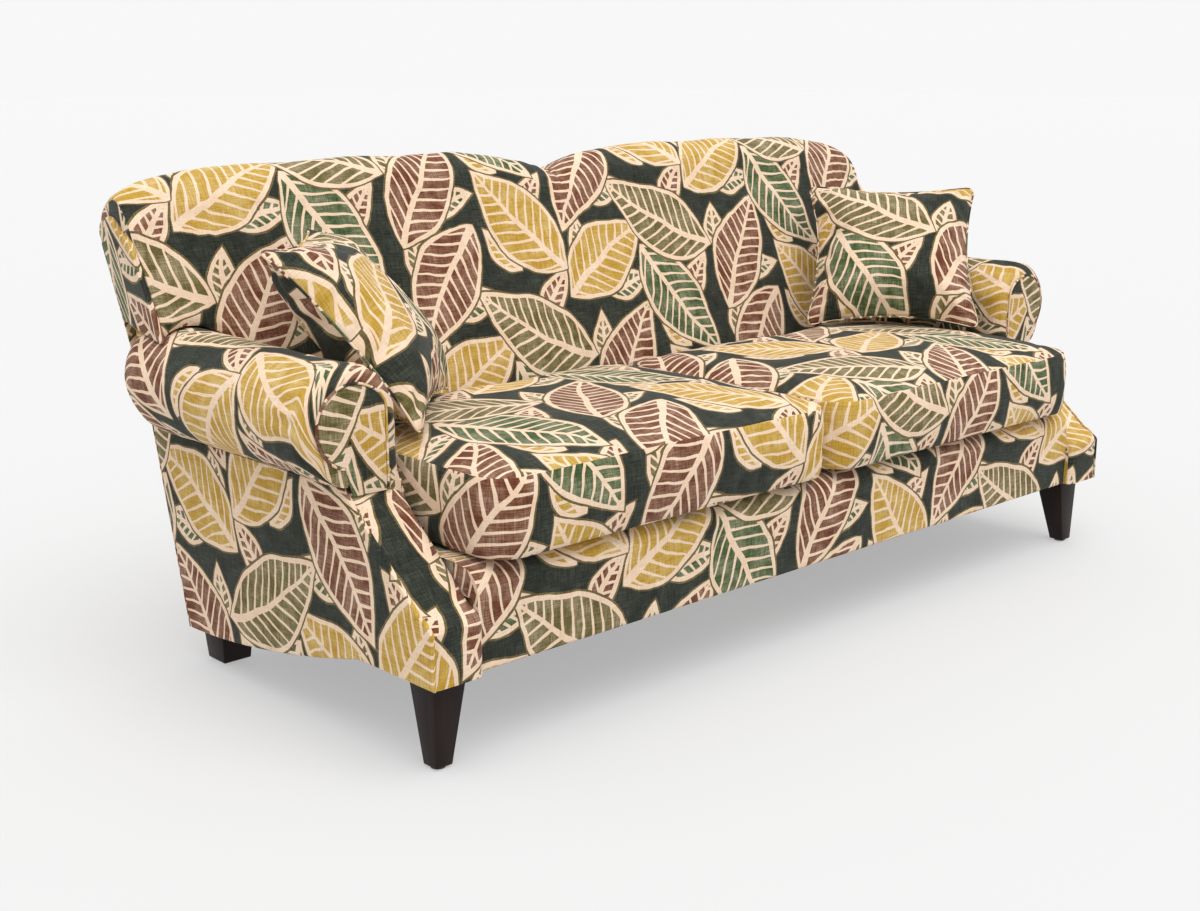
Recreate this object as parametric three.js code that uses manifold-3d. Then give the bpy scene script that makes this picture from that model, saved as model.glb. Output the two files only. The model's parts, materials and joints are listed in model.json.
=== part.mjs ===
// English roll arm sofa: raked tight back with a double crown, low set-back roll arms, two loose
// box seat cushions, two scatter cushions, square tapered legs. Millimetres, +Z up, front to -Y.
import * as THREE from 'three';
import { mergeVertices } from 'three/addons/utils/BufferGeometryUtils.js';
import Module from 'manifold-3d';

const wasm = await Module();
wasm.setup();

// Driving dimensions. Depths are measured back from the face of the arm blocks.
const fit = 0.3;

const base = {
  halfWidth: 950,
  depth: 732,
  frontUnderside: 150,
  rearUnderside: 66,
  sweepStart: 195,
  sweepPowerShare: 1.7,
  sweepSteps: 12,
  rakeDegrees: 14.25,
};

const arm = {
  rollRadius: 98,
  rollHeight: 526,
  rollSetIn: 14,
  rollFront: 205,
  rollOverhang: 53,
  frontRounding: 29,
  endRounding: 56,
  padThickness: 34,
  padFoot: 300,
  blockTop: 236,
  shoulderDepth: 34,
  shoulderRise: 29,
  slopeTopDrop: 13.7,
  frontPadding: 26,
  frontInset: 8,
  cheekRoundShare: 0.7,
  cheekDropShare: 0.35,
  seamInset: 38,
  facingThickness: 3.5,
  facingMargin: 3,
  facingFootShare: 0.96,
  facingTurnShare: 0.62,
  facingShoulderShare: 0.3,
  facingEaseShare: 0.4,
  panelThickness: 6,
  tongueGap: 1,
  rollSteps: 14,
  facingSteps: 12,
  easeSteps: 4,
  slopeShares: [0.33, 0.66],
  cheekShares: [0, 0.06, 0.2, 0.45, 0.8, 1],
  roundingShares: [0, 0.07, 0.25, 0.55, 1],
  endShares: [0.5, 0.8, 1],
};

const back = {
  panelThickness: 5,
  ridgeSetForward: 100,
  frontShoulder: 92,
  rearShoulder: 40,
  wrapDrop: 58,
  seatFrontInset: 222,
  armFrontInset: 208,
  topFrontInset: 168,
  seatLine: 331,
  armLine: 487,
  topLine: 734,
  armOverhang: 53,
  topOverhang: 77,
  splay: 43,
  crown: 14,
  borderThickness: 10,
  padFoot: 262,
  tuckShare: 0.8,
  wrapSlack: 3,
  rollClearance: 3,
  dip: 775,
  peak: 828,
  corner: 772,
  crownPowerShare: 4,
  borderDropShare: 0.25,
  borderShares: [0, 0.35, 0.7, 0.9],
  sideShares: [0, 0.25, 0.6, 1],
  humpSteps: 80,
  faceSteps: 6,
  shoulderSteps: 5,
  ridgeSteps: 4,
  rearSteps: 3,
};

const timber = {
  thickness: 28,
  frontRailThickness: 26,
  frontRailTop: 268,
  frontRailEnd: 225,
  strutWidth: 58,
  sideRailTop: 298,
  boardThickness: 22,
  boardFront: 238,
  backRailHeight: 100,
  topRailHeight: 78,
  tuckRailHeight: 60,
  tuckRailDrop: 30,
  armTuckHeight: 40,
  armTuckThickness: 14,
  uprightWidth: 44,
  blockSize: 60,
  blockHeight: 42,
  blockCutShare: 1 / 3,
  blockRearRoom: 11,
  seatRailThickness: 28,
  seatRailHeight: 60,
};

const seat = {
  frontRailSetBack: 17,
  railCoverThickness: 12,
  noseDepth: 61,
  noseRounding: 43,
  deckTop: 318,
  deckThickness: 28,
  deckRearRoom: 98,
  cushionOverhang: 10,
  cushionRearRoom: 150,
  cushionThickness: 137,
  cushionCrown: 30,
  cushionSideGap: 9,
  cushionCentreGap: 1.5,
  cushionCorner: 24,
  cushionDrawIn: 6,
  boxingBulge: 7,
  crownPowerShare: 4,
  noseSteps: 6,
  sideSteps: 5,
  cornerSteps: 3,
};

const spring = {
  perSide: 4,
  wireRadius: 1.9,
  loopHalfWidth: 21,
  halfWaves: 12,
  stepsPerHalfWave: 3,
  railDrop: 26,
  endTiltShare: 0.4,
  pairingShare: 0.12,
  arch: 18,
};

const scatter = {
  size: 400,
  plumpness: 138,
  drawIn: 17,
  seam: 3,
  lift: 4,
  edgeRoom: 2,
  backOff: 30,
  swellPowerShare: 2.4,
  edgePowerShare: 0.62,
  ringShares: [1, 0.94, 0.84, 0.7, 0.52, 0.28],
  sideSteps: 8,
};

// The two scatter cushions are turned and leant apart from each other.
const scatterPlaces = {
  right: { turnDegrees: 50, leanDegrees: 40, armRoom: 121, backRoom: 574 },
  left: { turnDegrees: 45, leanDegrees: 40, armRoom: 96, backRoom: 560 },
};

const leg = {
  top: 66,
  frontFoot: 33,
  rearFoot: 56,
  outerTaper: 4,
  insetX: 26,
  insetFront: 32,
  insetRear: -6,
  edge: 2,
  gliderHeight: 3,
  gliderRadius: 12,
  gliderSides: 24,
};

const bolt = { radius: 4, depth: 38, insetFromTop: 24, insetRear: 12, sides: 12 };

const dustCover = { thickness: 1.2 };

// Values that follow from the driving dimensions.
const backArmHalf = base.halfWidth + back.armOverhang;
const backTopHalf = base.halfWidth + back.topOverhang;
const deckRear = base.depth - seat.deckRearRoom;
const rollEnd = base.depth + arm.rollOverhang;
const rake = THREE.MathUtils.degToRad(base.rakeDegrees);
const rollX = base.halfWidth - arm.rollSetIn;
const insideX = rollX - arm.rollRadius;
const armInnerX = insideX + arm.padThickness;
const panelInnerX = base.halfWidth - arm.panelThickness;
const railOuterX = panelInnerX - fit;
const railInnerX = railOuterX - timber.thickness;
const postOuterX = railInnerX - fit;
const postInnerX = postOuterX - timber.thickness;
const slopeDepth = arm.rollFront - arm.shoulderDepth;
const shoulderZ = arm.blockTop + arm.shoulderRise;
const panelTop = arm.rollHeight - arm.rollRadius - fit;
const slopeRise = panelTop - shoulderZ - arm.slopeTopDrop;
const slopeLength = Math.hypot(slopeDepth, slopeRise);
const slopeY = slopeDepth / slopeLength;
const slopeZ = slopeRise / slopeLength;
const frameY = -back.panelThickness - fit;
const frameFrontY = frameY - timber.thickness;
const padRearY = frameFrontY - fit;
const railFrontY = seat.frontRailSetBack + seat.railCoverThickness + fit;
const railRearY = railFrontY + timber.frontRailThickness;
const timberLift = dustCover.thickness + fit + fit;
const boardUnder = arm.rollHeight - arm.rollRadius + 2 * fit + arm.frontPadding / 2;
const seatRailTop = seat.deckTop - seat.deckThickness - fit;
const seatRailFront = deckRear - timber.seatRailThickness;
const cushionBottom = seat.deckTop + fit;

// Colours and surfaces, as the photograph shows them.
const finishes = {
  print: { color: 0x8a7d58, roughness: 0.9, metalness: 0 },
  printDark: { color: 0x3b4136, roughness: 0.9, metalness: 0 },
  printRust: { color: 0x8a5340, roughness: 0.9, metalness: 0 },
  lining: { color: 0x2c2c2a, roughness: 0.95, metalness: 0 },
  calico: { color: 0xd9cfb8, roughness: 0.95, metalness: 0 },
  beech: { color: 0xc9a26c, roughness: 0.65, metalness: 0 },
  espresso: { color: 0x1d1413, roughness: 0.42, metalness: 0 },
  steel: { color: 0x9a9c9e, roughness: 0.35, metalness: 1 },
  nylon: { color: 0x4a4642, roughness: 0.6, metalness: 0 },
};

function finish(name) {
  return new THREE.MeshStandardMaterial(finishes[name]);
}

function piece(name, geometry, finishName) {
  const mesh = new THREE.Mesh(geometry, finish(finishName));
  mesh.name = name;
  return mesh;
}

// Triangle mesh helpers.
function signedVolume(positions, index) {
  const a = new THREE.Vector3();
  const b = new THREE.Vector3();
  const c = new THREE.Vector3();
  let sum = 0;
  for (let i = 0; i < index.length; i += 3) {
    a.fromArray(positions, index[i] * 3);
    b.fromArray(positions, index[i + 1] * 3);
    c.fromArray(positions, index[i + 2] * 3);
    sum += a.dot(b.cross(c));
  }
  return sum;
}

function solidGeometry(positions, index) {
  if (signedVolume(positions, index) < 0) {
    for (let i = 0; i < index.length; i += 3) {
      [index[i + 1], index[i + 2]] = [index[i + 2], index[i + 1]];
    }
  }
  const geometry = new THREE.BufferGeometry();
  geometry.setAttribute('position', new THREE.Float32BufferAttribute(positions, 3));
  geometry.setIndex(index);
  return geometry;
}

function cross(a, b, c) {
  return (b.x - a.x) * (c.y - a.y) - (b.y - a.y) * (c.x - a.x);
}

// Cuts a flat outline into triangles and keeps every point of it, those on straight runs too.
function capIndex(ring, flat, start, reversed) {
  const spots = ring.map(flat);
  const left = ring.map((_, i) => i);
  const turned = THREE.ShapeUtils.area(spots) < 0;
  if (turned) left.reverse();
  const out = [];
  const slack = 1e-7;
  const covers = (a, b, c, p) => (
    cross(a, b, p) >= -slack && cross(b, c, p) >= -slack && cross(c, a, p) >= -slack
  );
  while (left.length > 2) {
    let best = -1;
    let shortest = Infinity;
    for (let i = 0; i < left.length; i += 1) {
      const before = left[(i + left.length - 1) % left.length];
      const after = left[(i + 1) % left.length];
      const [a, b, c] = [spots[before], spots[left[i]], spots[after]];
      const blocked = left.some((k) => (
        k !== before && k !== left[i] && k !== after && covers(a, b, c, spots[k])
      ));
      const span = a.distanceTo(c);
      if (cross(a, b, c) > slack && !blocked && span < shortest) {
        shortest = span;
        best = i;
      }
    }
    if (best < 0) throw new Error('an outline crosses itself');
    const a = start + left[(best + left.length - 1) % left.length];
    const b = start + left[best];
    const c = start + left[(best + 1) % left.length];
    out.push(...(turned !== reversed ? [a, c, b] : [a, b, c]));
    left.splice(best, 1);
  }
  return out;
}

// Skins a row of rings that have the same count of points. A row may start or end in one point.
function loft(rings, flat) {
  const positions = [];
  const starts = rings.map((ring) => {
    const start = positions.length / 3;
    ring.forEach((p) => positions.push(p.x, p.y, p.z));
    return start;
  });
  const index = [];
  for (let r = 0; r + 1 < rings.length; r += 1) {
    const here = rings[r];
    const next = rings[r + 1];
    const count = Math.max(here.length, next.length);
    for (let i = 0; i < count; i += 1) {
      const j = (i + 1) % count;
      const a = starts[r] + (here.length > 1 ? i : 0);
      const b = starts[r] + (here.length > 1 ? j : 0);
      const c = starts[r + 1] + (next.length > 1 ? j : 0);
      const d = starts[r + 1] + (next.length > 1 ? i : 0);
      if (here.length > 1) index.push(a, b, c);
      if (next.length > 1) index.push(a, c, d);
    }
  }
  const first = rings[0];
  const last = rings[rings.length - 1];
  if (first.length > 1) index.push(...capIndex(first, flat, starts[0], true));
  if (last.length > 1) index.push(...capIndex(last, flat, starts[starts.length - 1], false));
  return solidGeometry(positions, index);
}

const flatXZ = (p) => new THREE.Vector2(p.x, p.z);
const flatYZ = (p) => new THREE.Vector2(p.y, p.z);
const flatXY = (p) => new THREE.Vector2(p.x, p.y);

function toManifold(geometry) {
  const bare = geometry.clone();
  bare.deleteAttribute('normal');
  bare.deleteAttribute('uv');
  const merged = mergeVertices(bare, fit / 100);
  return new wasm.Manifold(new wasm.Mesh({
    numProp: 3,
    vertProperties: new Float32Array(merged.attributes.position.array),
    triVerts: new Uint32Array(merged.index.array),
  }));
}

function fromManifold(solid) {
  const mesh = solid.getMesh();
  const geometry = new THREE.BufferGeometry();
  geometry.setAttribute('position', new THREE.BufferAttribute(mesh.vertProperties, 3));
  geometry.setIndex(new THREE.BufferAttribute(mesh.triVerts, 1));
  return geometry;
}

function joined(parts) {
  return fromManifold(parts.map(toManifold).reduce((all, next) => all.add(next)));
}

function cutAway(geometry, cutters) {
  let solid = toManifold(geometry);
  for (const cutter of cutters) {
    solid = solid.subtract(toManifold(cutter));
  }
  return fromManifold(solid);
}

function mirrored(geometry) {
  const copy = geometry.clone();
  copy.deleteAttribute('normal');
  copy.deleteAttribute('uv');
  const merged = mergeVertices(copy, fit / 100);
  merged.scale(-1, 1, 1);
  const index = Array.from(merged.index.array);
  return solidGeometry(Array.from(merged.attributes.position.array), index);
}

function pair(name, geometry, finishName) {
  return [
    piece(`${name}_right`, geometry, finishName),
    piece(`${name}_left`, mirrored(geometry), finishName),
  ];
}

// A box between two corners.
function block(x0, x1, y0, y1, z0, z1) {
  const geometry = new THREE.BoxGeometry(x1 - x0, y1 - y0, z1 - z0);
  geometry.translate((x0 + x1) / 2, (y0 + y1) / 2, (z0 + z1) / 2);
  return geometry;
}

// A plate cut to an outline in the depth and height plane, between two distances from the centre.
function sidePlate(outline, x0, x1) {
  const ring = (x) => outline.map(([y, z]) => new THREE.Vector3(x, y, z));
  return loft([ring(x0), ring(x1)], flatYZ);
}

function uprightCylinder(x, y, z0, z1, radius, sides) {
  const geometry = new THREE.CylinderGeometry(radius, radius, z1 - z0, sides);
  geometry.rotateX(Math.PI / 2);
  geometry.translate(x, y, (z0 + z1) / 2);
  return geometry;
}

// The lower edge is level under the arm block and sweeps down to the rear legs. Every piece that
// follows it breaks at the same stations.
const sweepStations = Array.from({ length: base.sweepSteps + 1 }, (_, i) => {
  const share = i / base.sweepSteps;
  const drop = base.frontUnderside - base.rearUnderside;
  const y = base.sweepStart + (base.depth - base.sweepStart) * share;
  return [y, base.frontUnderside - drop * (1 - (1 - share) ** base.sweepPowerShare)];
});

function underside(y) {
  if (y <= base.sweepStart) return base.frontUnderside;
  for (let i = 1; i < sweepStations.length; i += 1) {
    const [y0, z0] = sweepStations[i - 1];
    const [y1, z1] = sweepStations[i];
    if (y <= y1) return z0 + (z1 - z0) * ((y - y0) / (y1 - y0));
  }
  return base.rearUnderside;
}

function sweepPoints(y0, y1, lift) {
  const inner = sweepStations.map(([y]) => y).filter((y) => y > y0 + fit && y < y1 - fit);
  return [y0, ...inner, y1].map((y) => [y, underside(y) + lift]);
}

// The rear face is a raked plane: y runs out of it, z up it, from its lower edge.
function rakedToWorld(x, y, z) {
  return new THREE.Vector3(
    x,
    base.depth + z * Math.sin(rake) + y * Math.cos(rake),
    base.rearUnderside + z * Math.cos(rake) - y * Math.sin(rake),
  );
}

function rakedHeight(worldZ, y) {
  return (worldZ - base.rearUnderside + y * Math.sin(rake)) / Math.cos(rake);
}

function depthOnRake(worldZ, y) {
  return rakedToWorld(0, y, rakedHeight(worldZ, y)).y;
}

function raked(geometry) {
  geometry.rotateX(-rake);
  geometry.translate(0, base.depth, base.rearUnderside);
  return geometry;
}

function rakedBox(x0, x1, y0, y1, z0, z1) {
  return raked(block(x0, x1, y0, y1, z0, z1));
}

// Top line of the back, up the raked plane: two humps, a sharp dip between and round corners.
const humpShares = [
  [0, 0], [0.024, 0.2], [0.05, 0.42], [0.1, 0.68], [0.17, 0.86], [0.3, 0.97],
  [0.43, 1], [0.6, 0.985], [0.78, 0.9], [0.88, 0.76], [0.95, 0.5], [1, 0],
];

const humpCurve = new THREE.CatmullRomCurve3(humpShares.map(([x, rise], i) => {
  const foot = i < humpShares.length / 2 ? back.dip : back.corner;
  return new THREE.Vector3(x * backArmHalf, 0, foot + (back.peak - foot) * rise);
}), false, 'centripetal');

const humpPoints = humpCurve.getPoints(back.humpSteps);

// Every piece that follows the top line breaks at the same shares of the half width.
const crownShares = [
  0, 0.025, 0.055, 0.1, 0.17, 0.27, 0.4, 0.54, 0.67, 0.78, 0.85, 0.9, 0.945, 0.975,
];

function humpHeight(x) {
  const at = Math.min(Math.abs(x), backArmHalf);
  for (let i = 1; i < humpPoints.length; i += 1) {
    const a = humpPoints[i - 1];
    const b = humpPoints[i];
    if (b.x >= at) return a.z + (b.z - a.z) * ((at - a.x) / (b.x - a.x || 1));
  }
  return back.corner;
}

// Half width of the back at a place on its raked section.
function backHalfWidth(y, z) {
  const slant = (backTopHalf - backArmHalf) / (back.topLine - back.armLine);
  const front = backArmHalf + slant * (z - back.armLine);
  return front - back.splay * (1 + y / back.armFrontInset);
}

function rearHalfWidth(z) {
  return Math.max(base.halfWidth, backHalfWidth(0, z));
}

// Moves a point of the back's straight section out to its flared side.
function flare(x, y, z) {
  const reach = (Math.abs(x) - insideX) / (backArmHalf - insideX);
  const share = Math.max(0, reach);
  const shift = backHalfWidth(y, z) - backArmHalf;
  return x + Math.sign(x) * shift * share;
}

// How far in front of the rear face the cushioned face of the back stands.
function backFront(x, z) {
  const lower = (z - back.seatLine) / (back.armLine - back.seatLine);
  const upper = (z - back.armLine) / (back.topLine - back.armLine);
  const low = back.seatFrontInset + (back.armFrontInset - back.seatFrontInset) * lower;
  const high = back.armFrontInset + (back.topFrontInset - back.armFrontInset) * upper;
  const tuck = Math.max(0, back.seatLine - z) * back.tuckShare;
  const inset = (z < back.armLine ? low : high) - tuck;
  const across = Math.min(1, Math.abs(x) / backArmHalf);
  return -inset + back.crown * across ** back.crownPowerShare;
}

// Sofa timber frame. Rails and posts stand behind the padding of the arm fronts.
function timberKnee() {
  const kneeY = arm.shoulderDepth + arm.frontPadding * slopeZ;
  const kneeZ = kneeHeight(arm.frontPadding);
  return { kneeY, kneeZ, lipZ: lipHeight(arm.frontPadding, railFrontY) - fit };
}

function sideRails() {
  const rearFoot = depthOnRake(underside(base.depth) + timberLift, frameFrontY - fit);
  const rearTop = depthOnRake(timber.sideRailTop, frameFrontY - fit);
  const { kneeY, kneeZ, lipZ } = timberKnee();
  const topY = kneeY + (timber.sideRailTop - kneeZ) * (slopeDepth / slopeRise);
  const outline = [
    ...sweepPoints(railFrontY, rearFoot, timberLift),
    [rearTop, timber.sideRailTop],
    [topY, timber.sideRailTop],
    [kneeY, kneeZ],
    [railFrontY, lipZ],
  ];
  return pair('side_rail', sidePlate(outline, railInnerX, railOuterX), 'beech');
}

function armPosts() {
  const { kneeY, kneeZ, lipZ } = timberKnee();
  const top = boardUnder - fit;
  const run = slopeDepth / slopeRise;
  const foot = base.frontUnderside + timberLift + timber.blockHeight + fit;
  const strutY = kneeY + timber.strutWidth * slopeZ;
  const strutZ = kneeZ - timber.strutWidth * slopeY;
  const heel = [[strutY, strutZ], [strutY, foot]];
  const cutHeel = [[strutY + (foot - strutZ) * run, foot]];
  const outline = [
    [railRearY + fit, foot],
    [railRearY + fit, timber.frontRailEnd + fit],
    [railFrontY, timber.frontRailEnd + fit],
    [railFrontY, lipZ],
    [kneeY, kneeZ],
    [kneeY + (top - kneeZ) * run, top],
    [strutY + (top - strutZ) * run, top],
    ...(strutZ > foot ? heel : cutHeel),
  ];
  return pair('arm_front_post', sidePlate(outline, postInnerX, postOuterX), 'beech');
}

function armBoards() {
  const top = boardUnder + timber.boardThickness;
  const rear = depthOnRake(boardUnder, frameFrontY - fit);
  const geometry = block(armInnerX + fit, railOuterX - fit, timber.boardFront, rear, boardUnder, top);
  return pair('arm_board', geometry, 'beech');
}

// The tuck rail starts behind the roll's rounding, or behind the padded slope where that reaches
// further back.
function armTuckRails() {
  const top = Math.min(arm.padFoot + timber.armTuckHeight, panelTop);
  const slope = slopeAtHeight(top, arm.frontPadding) + fit;
  const front = Math.max(arm.rollFront + arm.frontRounding, slope);
  const rear = depthOnRake(arm.padFoot, frameFrontY - fit);
  const x0 = armInnerX + fit;
  const x1 = x0 + timber.armTuckThickness;
  const geometry = block(x0, x1, front, rear, arm.padFoot, arm.padFoot + timber.armTuckHeight);
  return pair('arm_tuck_rail', geometry, 'beech');
}

// The front rail is stepped down at its ends, under the slopes of the arms.
function crossRails() {
  const half = railInnerX - fit;
  const foot = base.frontUnderside + timberLift;
  const shoulder = insideX - 2 * fit;
  const outline = [
    [-half, foot], [half, foot], [half, timber.frontRailEnd], [shoulder, timber.frontRailEnd],
    [shoulder, timber.frontRailTop], [-shoulder, timber.frontRailTop],
    [-shoulder, timber.frontRailEnd], [-half, timber.frontRailEnd],
  ];
  const ring = (y) => outline.map(([x, z]) => new THREE.Vector3(x, y, z));
  const front = loft([ring(railFrontY), ring(railRearY)], flatXZ);
  const seatFoot = seatRailTop - timber.seatRailHeight;
  const seatRail = block(-half, half, seatRailFront, deckRear, seatFoot, seatRailTop);
  return [
    piece('front_rail', front, 'beech'),
    piece('rear_seat_rail', seatRail, 'beech'),
  ];
}

function centreStretcher() {
  const half = timber.thickness / 2;
  const outline = [
    ...sweepPoints(railRearY + fit, seatRailFront - fit, timberLift),
    [seatRailFront - fit, seatRailTop - timber.seatRailHeight / 2],
    [railRearY + fit, base.frontUnderside + timber.seatRailHeight],
  ];
  return [piece('centre_stretcher', sidePlate(outline, -half, half), 'beech')];
}

function backFrame() {
  const foot = timberLift + fit;
  const railTop = foot + timber.backRailHeight;
  const topRailFoot = back.dip - back.wrapDrop - timber.topRailHeight;
  const tuckTop = back.seatLine - timber.tuckRailDrop;
  const tuckFoot = tuckTop - timber.tuckRailHeight;
  const inner = railInnerX - fit;
  const half = timber.uprightWidth / 2;
  const post = rakedBox(railInnerX, railOuterX, frameFrontY, frameY, foot, topRailFoot - fit);
  const rearRail = rakedBox(-inner, inner, frameFrontY, frameY, foot, railTop);
  const tuckRail = rakedBox(-inner, inner, frameFrontY, frameY, tuckFoot, tuckTop);
  const upright = rakedBox(-half, half, frameFrontY, frameY, tuckTop + fit, topRailFoot - fit);
  return [
    ...pair('back_post', post, 'beech'),
    piece('rear_rail', rearRail, 'beech'),
    piece('back_tuck_rail', tuckRail, 'beech'),
    piece('back_upright', upright, 'beech'),
  ];
}

// The line that the wrapped cover and the rear panel meet on, from one side to the other.
function wrapLine(half) {
  const right = crownShares.map((share) => {
    const x = backArmHalf * share;
    const z = humpHeight(x) - back.wrapDrop - back.wrapSlack;
    return [flare(x, 0, z), z];
  }).filter(([x]) => x < half);
  return { right, left: right.slice(1).reverse().map(([x, z]) => [-x, z]) };
}

// The top rail is sawn to the double crown.
function backTopRail() {
  const half = railOuterX;
  const foot = back.dip - back.wrapDrop - timber.topRailHeight;
  const { right, left } = wrapLine(half - fit);
  const last = right[right.length - 1][1];
  const outline = [[half, foot], [-half, foot], [-half, last], ...left, ...right, [half, last]];
  const drop = back.wrapSlack;
  const ring = (y) => outline.map(([x, z]) => (
    new THREE.Vector3(x, y, z === foot ? z : z - drop)
  ));
  const geometry = raked(loft([ring(frameFrontY), ring(frameY)], flatXZ));
  return [piece('back_top_rail', geometry, 'beech')];
}

// Zigzag seat springs, arched between the front rail and the rear seat rail.
function springs() {
  const meshes = [];
  const endRoom = fit + spring.wireRadius * spring.endTiltShare;
  const y0 = railRearY + endRoom;
  const y1 = seatRailFront - endRoom;
  const steps = spring.halfWaves * spring.stepsPerHalfWave;
  const level = seatRailTop - spring.railDrop;
  const total = 2 * spring.perSide;
  const spacing = (2 * insideX) / (total + 1);
  const section = new THREE.Shape();
  const r = spring.wireRadius;
  section.moveTo(r, 0);
  section.lineTo(0, r);
  section.lineTo(-r, 0);
  section.lineTo(0, -r);
  section.closePath();
  for (let i = 0; i < total; i += 1) {
    const pairing = spring.pairingShare * Math.sign(i + 0.5 - total / 2);
    const x = -insideX + spacing * (i + 1 + pairing);
    const points = [];
    for (let s = 0; s <= steps; s += 1) {
      const t = s / steps;
      const ease = Math.min(1, spring.halfWaves * t, spring.halfWaves * (1 - t));
      const wave = Math.sin(Math.PI * spring.halfWaves * t);
      points.push(new THREE.Vector3(
        x + spring.loopHalfWidth * wave * ease,
        y0 + (y1 - y0) * t,
        level + spring.arch * Math.sin(Math.PI * t),
      ));
    }
    const path = new THREE.CatmullRomCurve3(points);
    const geometry = new THREE.ExtrudeGeometry(section, { steps, extrudePath: path });
    meshes.push(piece(`seat_spring_${i + 1}`, geometry, 'steel'));
  }
  return meshes;
}

// Seat deck and rail cover.
function deckPad() {
  const half = insideX - fit;
  const front = seat.noseDepth + seat.frontRailSetBack + fit;
  const foot = seat.deckTop - seat.deckThickness;
  return [piece('seat_deck', block(-half, half, front, deckRear, foot, seat.deckTop), 'calico')];
}

function railCover() {
  const front = seat.frontRailSetBack;
  const rear = front + seat.noseDepth;
  const inner = front + seat.railCoverThickness;
  const r = seat.noseRounding;
  const outline = [[inner, base.frontUnderside], [front, base.frontUnderside]];
  for (let i = 0; i <= seat.noseSteps; i += 1) {
    const turn = (Math.PI / 2) * (i / seat.noseSteps);
    outline.push([front + r * (1 - Math.cos(turn)), seat.deckTop - r + r * Math.sin(turn)]);
  }
  outline.push([rear, seat.deckTop]);
  outline.push([rear, seat.deckTop - seat.deckThickness]);
  outline.push([railRearY + fit, seat.deckTop - seat.deckThickness]);
  outline.push([railRearY + fit, timber.frontRailTop + fit]);
  outline.push([inner, timber.frontRailTop + fit]);
  const half = insideX + arm.frontInset - fit;
  return [piece('front_rail_cover', sidePlate(outline, -half, half), 'print')];
}

// Arms.
function frontProfile(offset) {
  const kneeY = arm.shoulderDepth + slopeZ * offset;
  const kneeZ = shoulderZ - slopeY * offset;
  const lipZ = lipHeight(offset, offset);
  const blockZ = arm.blockTop - offset * arm.cheekDropShare;
  const shoulder = new THREE.QuadraticBezierCurve(
    new THREE.Vector2(offset, blockZ),
    new THREE.Vector2(offset, lipZ),
    new THREE.Vector2(kneeY, kneeZ),
  );
  const points = [[offset, base.frontUnderside], [offset, (base.frontUnderside + blockZ) / 2]];
  shoulder.getPoints(arm.easeSteps).forEach((at) => points.push([at.x, at.y]));
  for (const share of arm.slopeShares) {
    points.push([
      arm.shoulderDepth + slopeDepth * share + slopeZ * offset,
      shoulderZ + slopeRise * share - slopeY * offset,
    ]);
  }
  return points;
}

function slopeAtHeight(z, offset) {
  const y = arm.shoulderDepth + slopeZ * offset;
  const foot = shoulderZ - slopeY * offset;
  return y + (z - foot) * (slopeDepth / slopeRise);
}

function slopeAtDepth(y, offset) {
  const start = arm.shoulderDepth + slopeZ * offset;
  const foot = shoulderZ - slopeY * offset;
  return foot + (y - start) * (slopeRise / slopeDepth);
}

// The padded front of an arm: a pad over the block and slope, and a cheek with a rounded edge
// that closes the end of the front rail.
function armFronts() {
  const x0 = insideX + arm.frontInset;
  const thin = arm.frontPadding - fit;
  const wall = arm.rollFront - fit;
  const rounding = arm.seamInset - arm.frontInset;
  const shell = [
    ...frontProfile(0),
    [slopeAtHeight(panelTop, 0), panelTop],
    [slopeAtHeight(panelTop, thin), panelTop],
    [slopeAtHeight(kneeHeight(thin), thin), kneeHeight(thin)],
    [thin, lipHeight(thin, thin)],
    [thin, base.frontUnderside],
  ];
  const cheek = (x) => {
    const share = Math.min(1, (x - x0) / rounding);
    const offset = rounding * arm.cheekRoundShare * (1 - Math.sqrt(1 - (1 - share) ** 2));
    const rear = [
      [wall, slopeAtDepth(wall, offset)],
      [wall, arm.padFoot],
      [railRearY, timber.frontRailEnd + fit],
      [railFrontY - fit, timber.frontRailEnd + fit],
      [railFrontY - fit, base.frontUnderside],
    ];
    return [...frontProfile(offset), ...rear].map(([y, z]) => new THREE.Vector3(x, y, z));
  };
  const stations = arm.cheekShares.map((share) => x0 + rounding * share);
  const plate = sidePlate(shell, armInnerX, panelInnerX - fit);
  return pair('arm_front_pad', joined([loft(stations.map(cheek), flatYZ), plate]), 'print');
}

function kneeHeight(offset) {
  return shoulderZ - slopeY * offset;
}

function lipHeight(offset, y) {
  const kneeY = arm.shoulderDepth + slopeZ * offset;
  return kneeHeight(offset) - (kneeY - y) * (arm.shoulderRise / 2 / arm.shoulderDepth);
}

// Section of an arm's pad: inside face, over the roll, round to the outside panel.
function armSection(y, offset, lean) {
  const radius = arm.rollRadius - offset;
  const points = [];
  points.push([insideX + offset, arm.padFoot]);
  points.push([insideX + offset, (arm.padFoot + arm.rollHeight) / 2]);
  const last = Math.asin(arm.rollSetIn / arm.rollRadius);
  const sweep = Math.PI * 1.5 - last;
  for (let i = 0; i <= arm.rollSteps; i += 1) {
    const angle = Math.PI - (sweep * i) / arm.rollSteps;
    points.push([rollX + radius * Math.cos(angle), arm.rollHeight + radius * Math.sin(angle)]);
  }
  const boardTop = boardUnder + timber.boardThickness + fit;
  points.push([railOuterX, boardUnder]);
  points.push([railOuterX, boardTop]);
  points.push([armInnerX, boardTop]);
  points.push([armInnerX, arm.padFoot]);
  return points.map(([x, z]) => new THREE.Vector3(x, y + lean * (z - arm.rollHeight), z));
}

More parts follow.
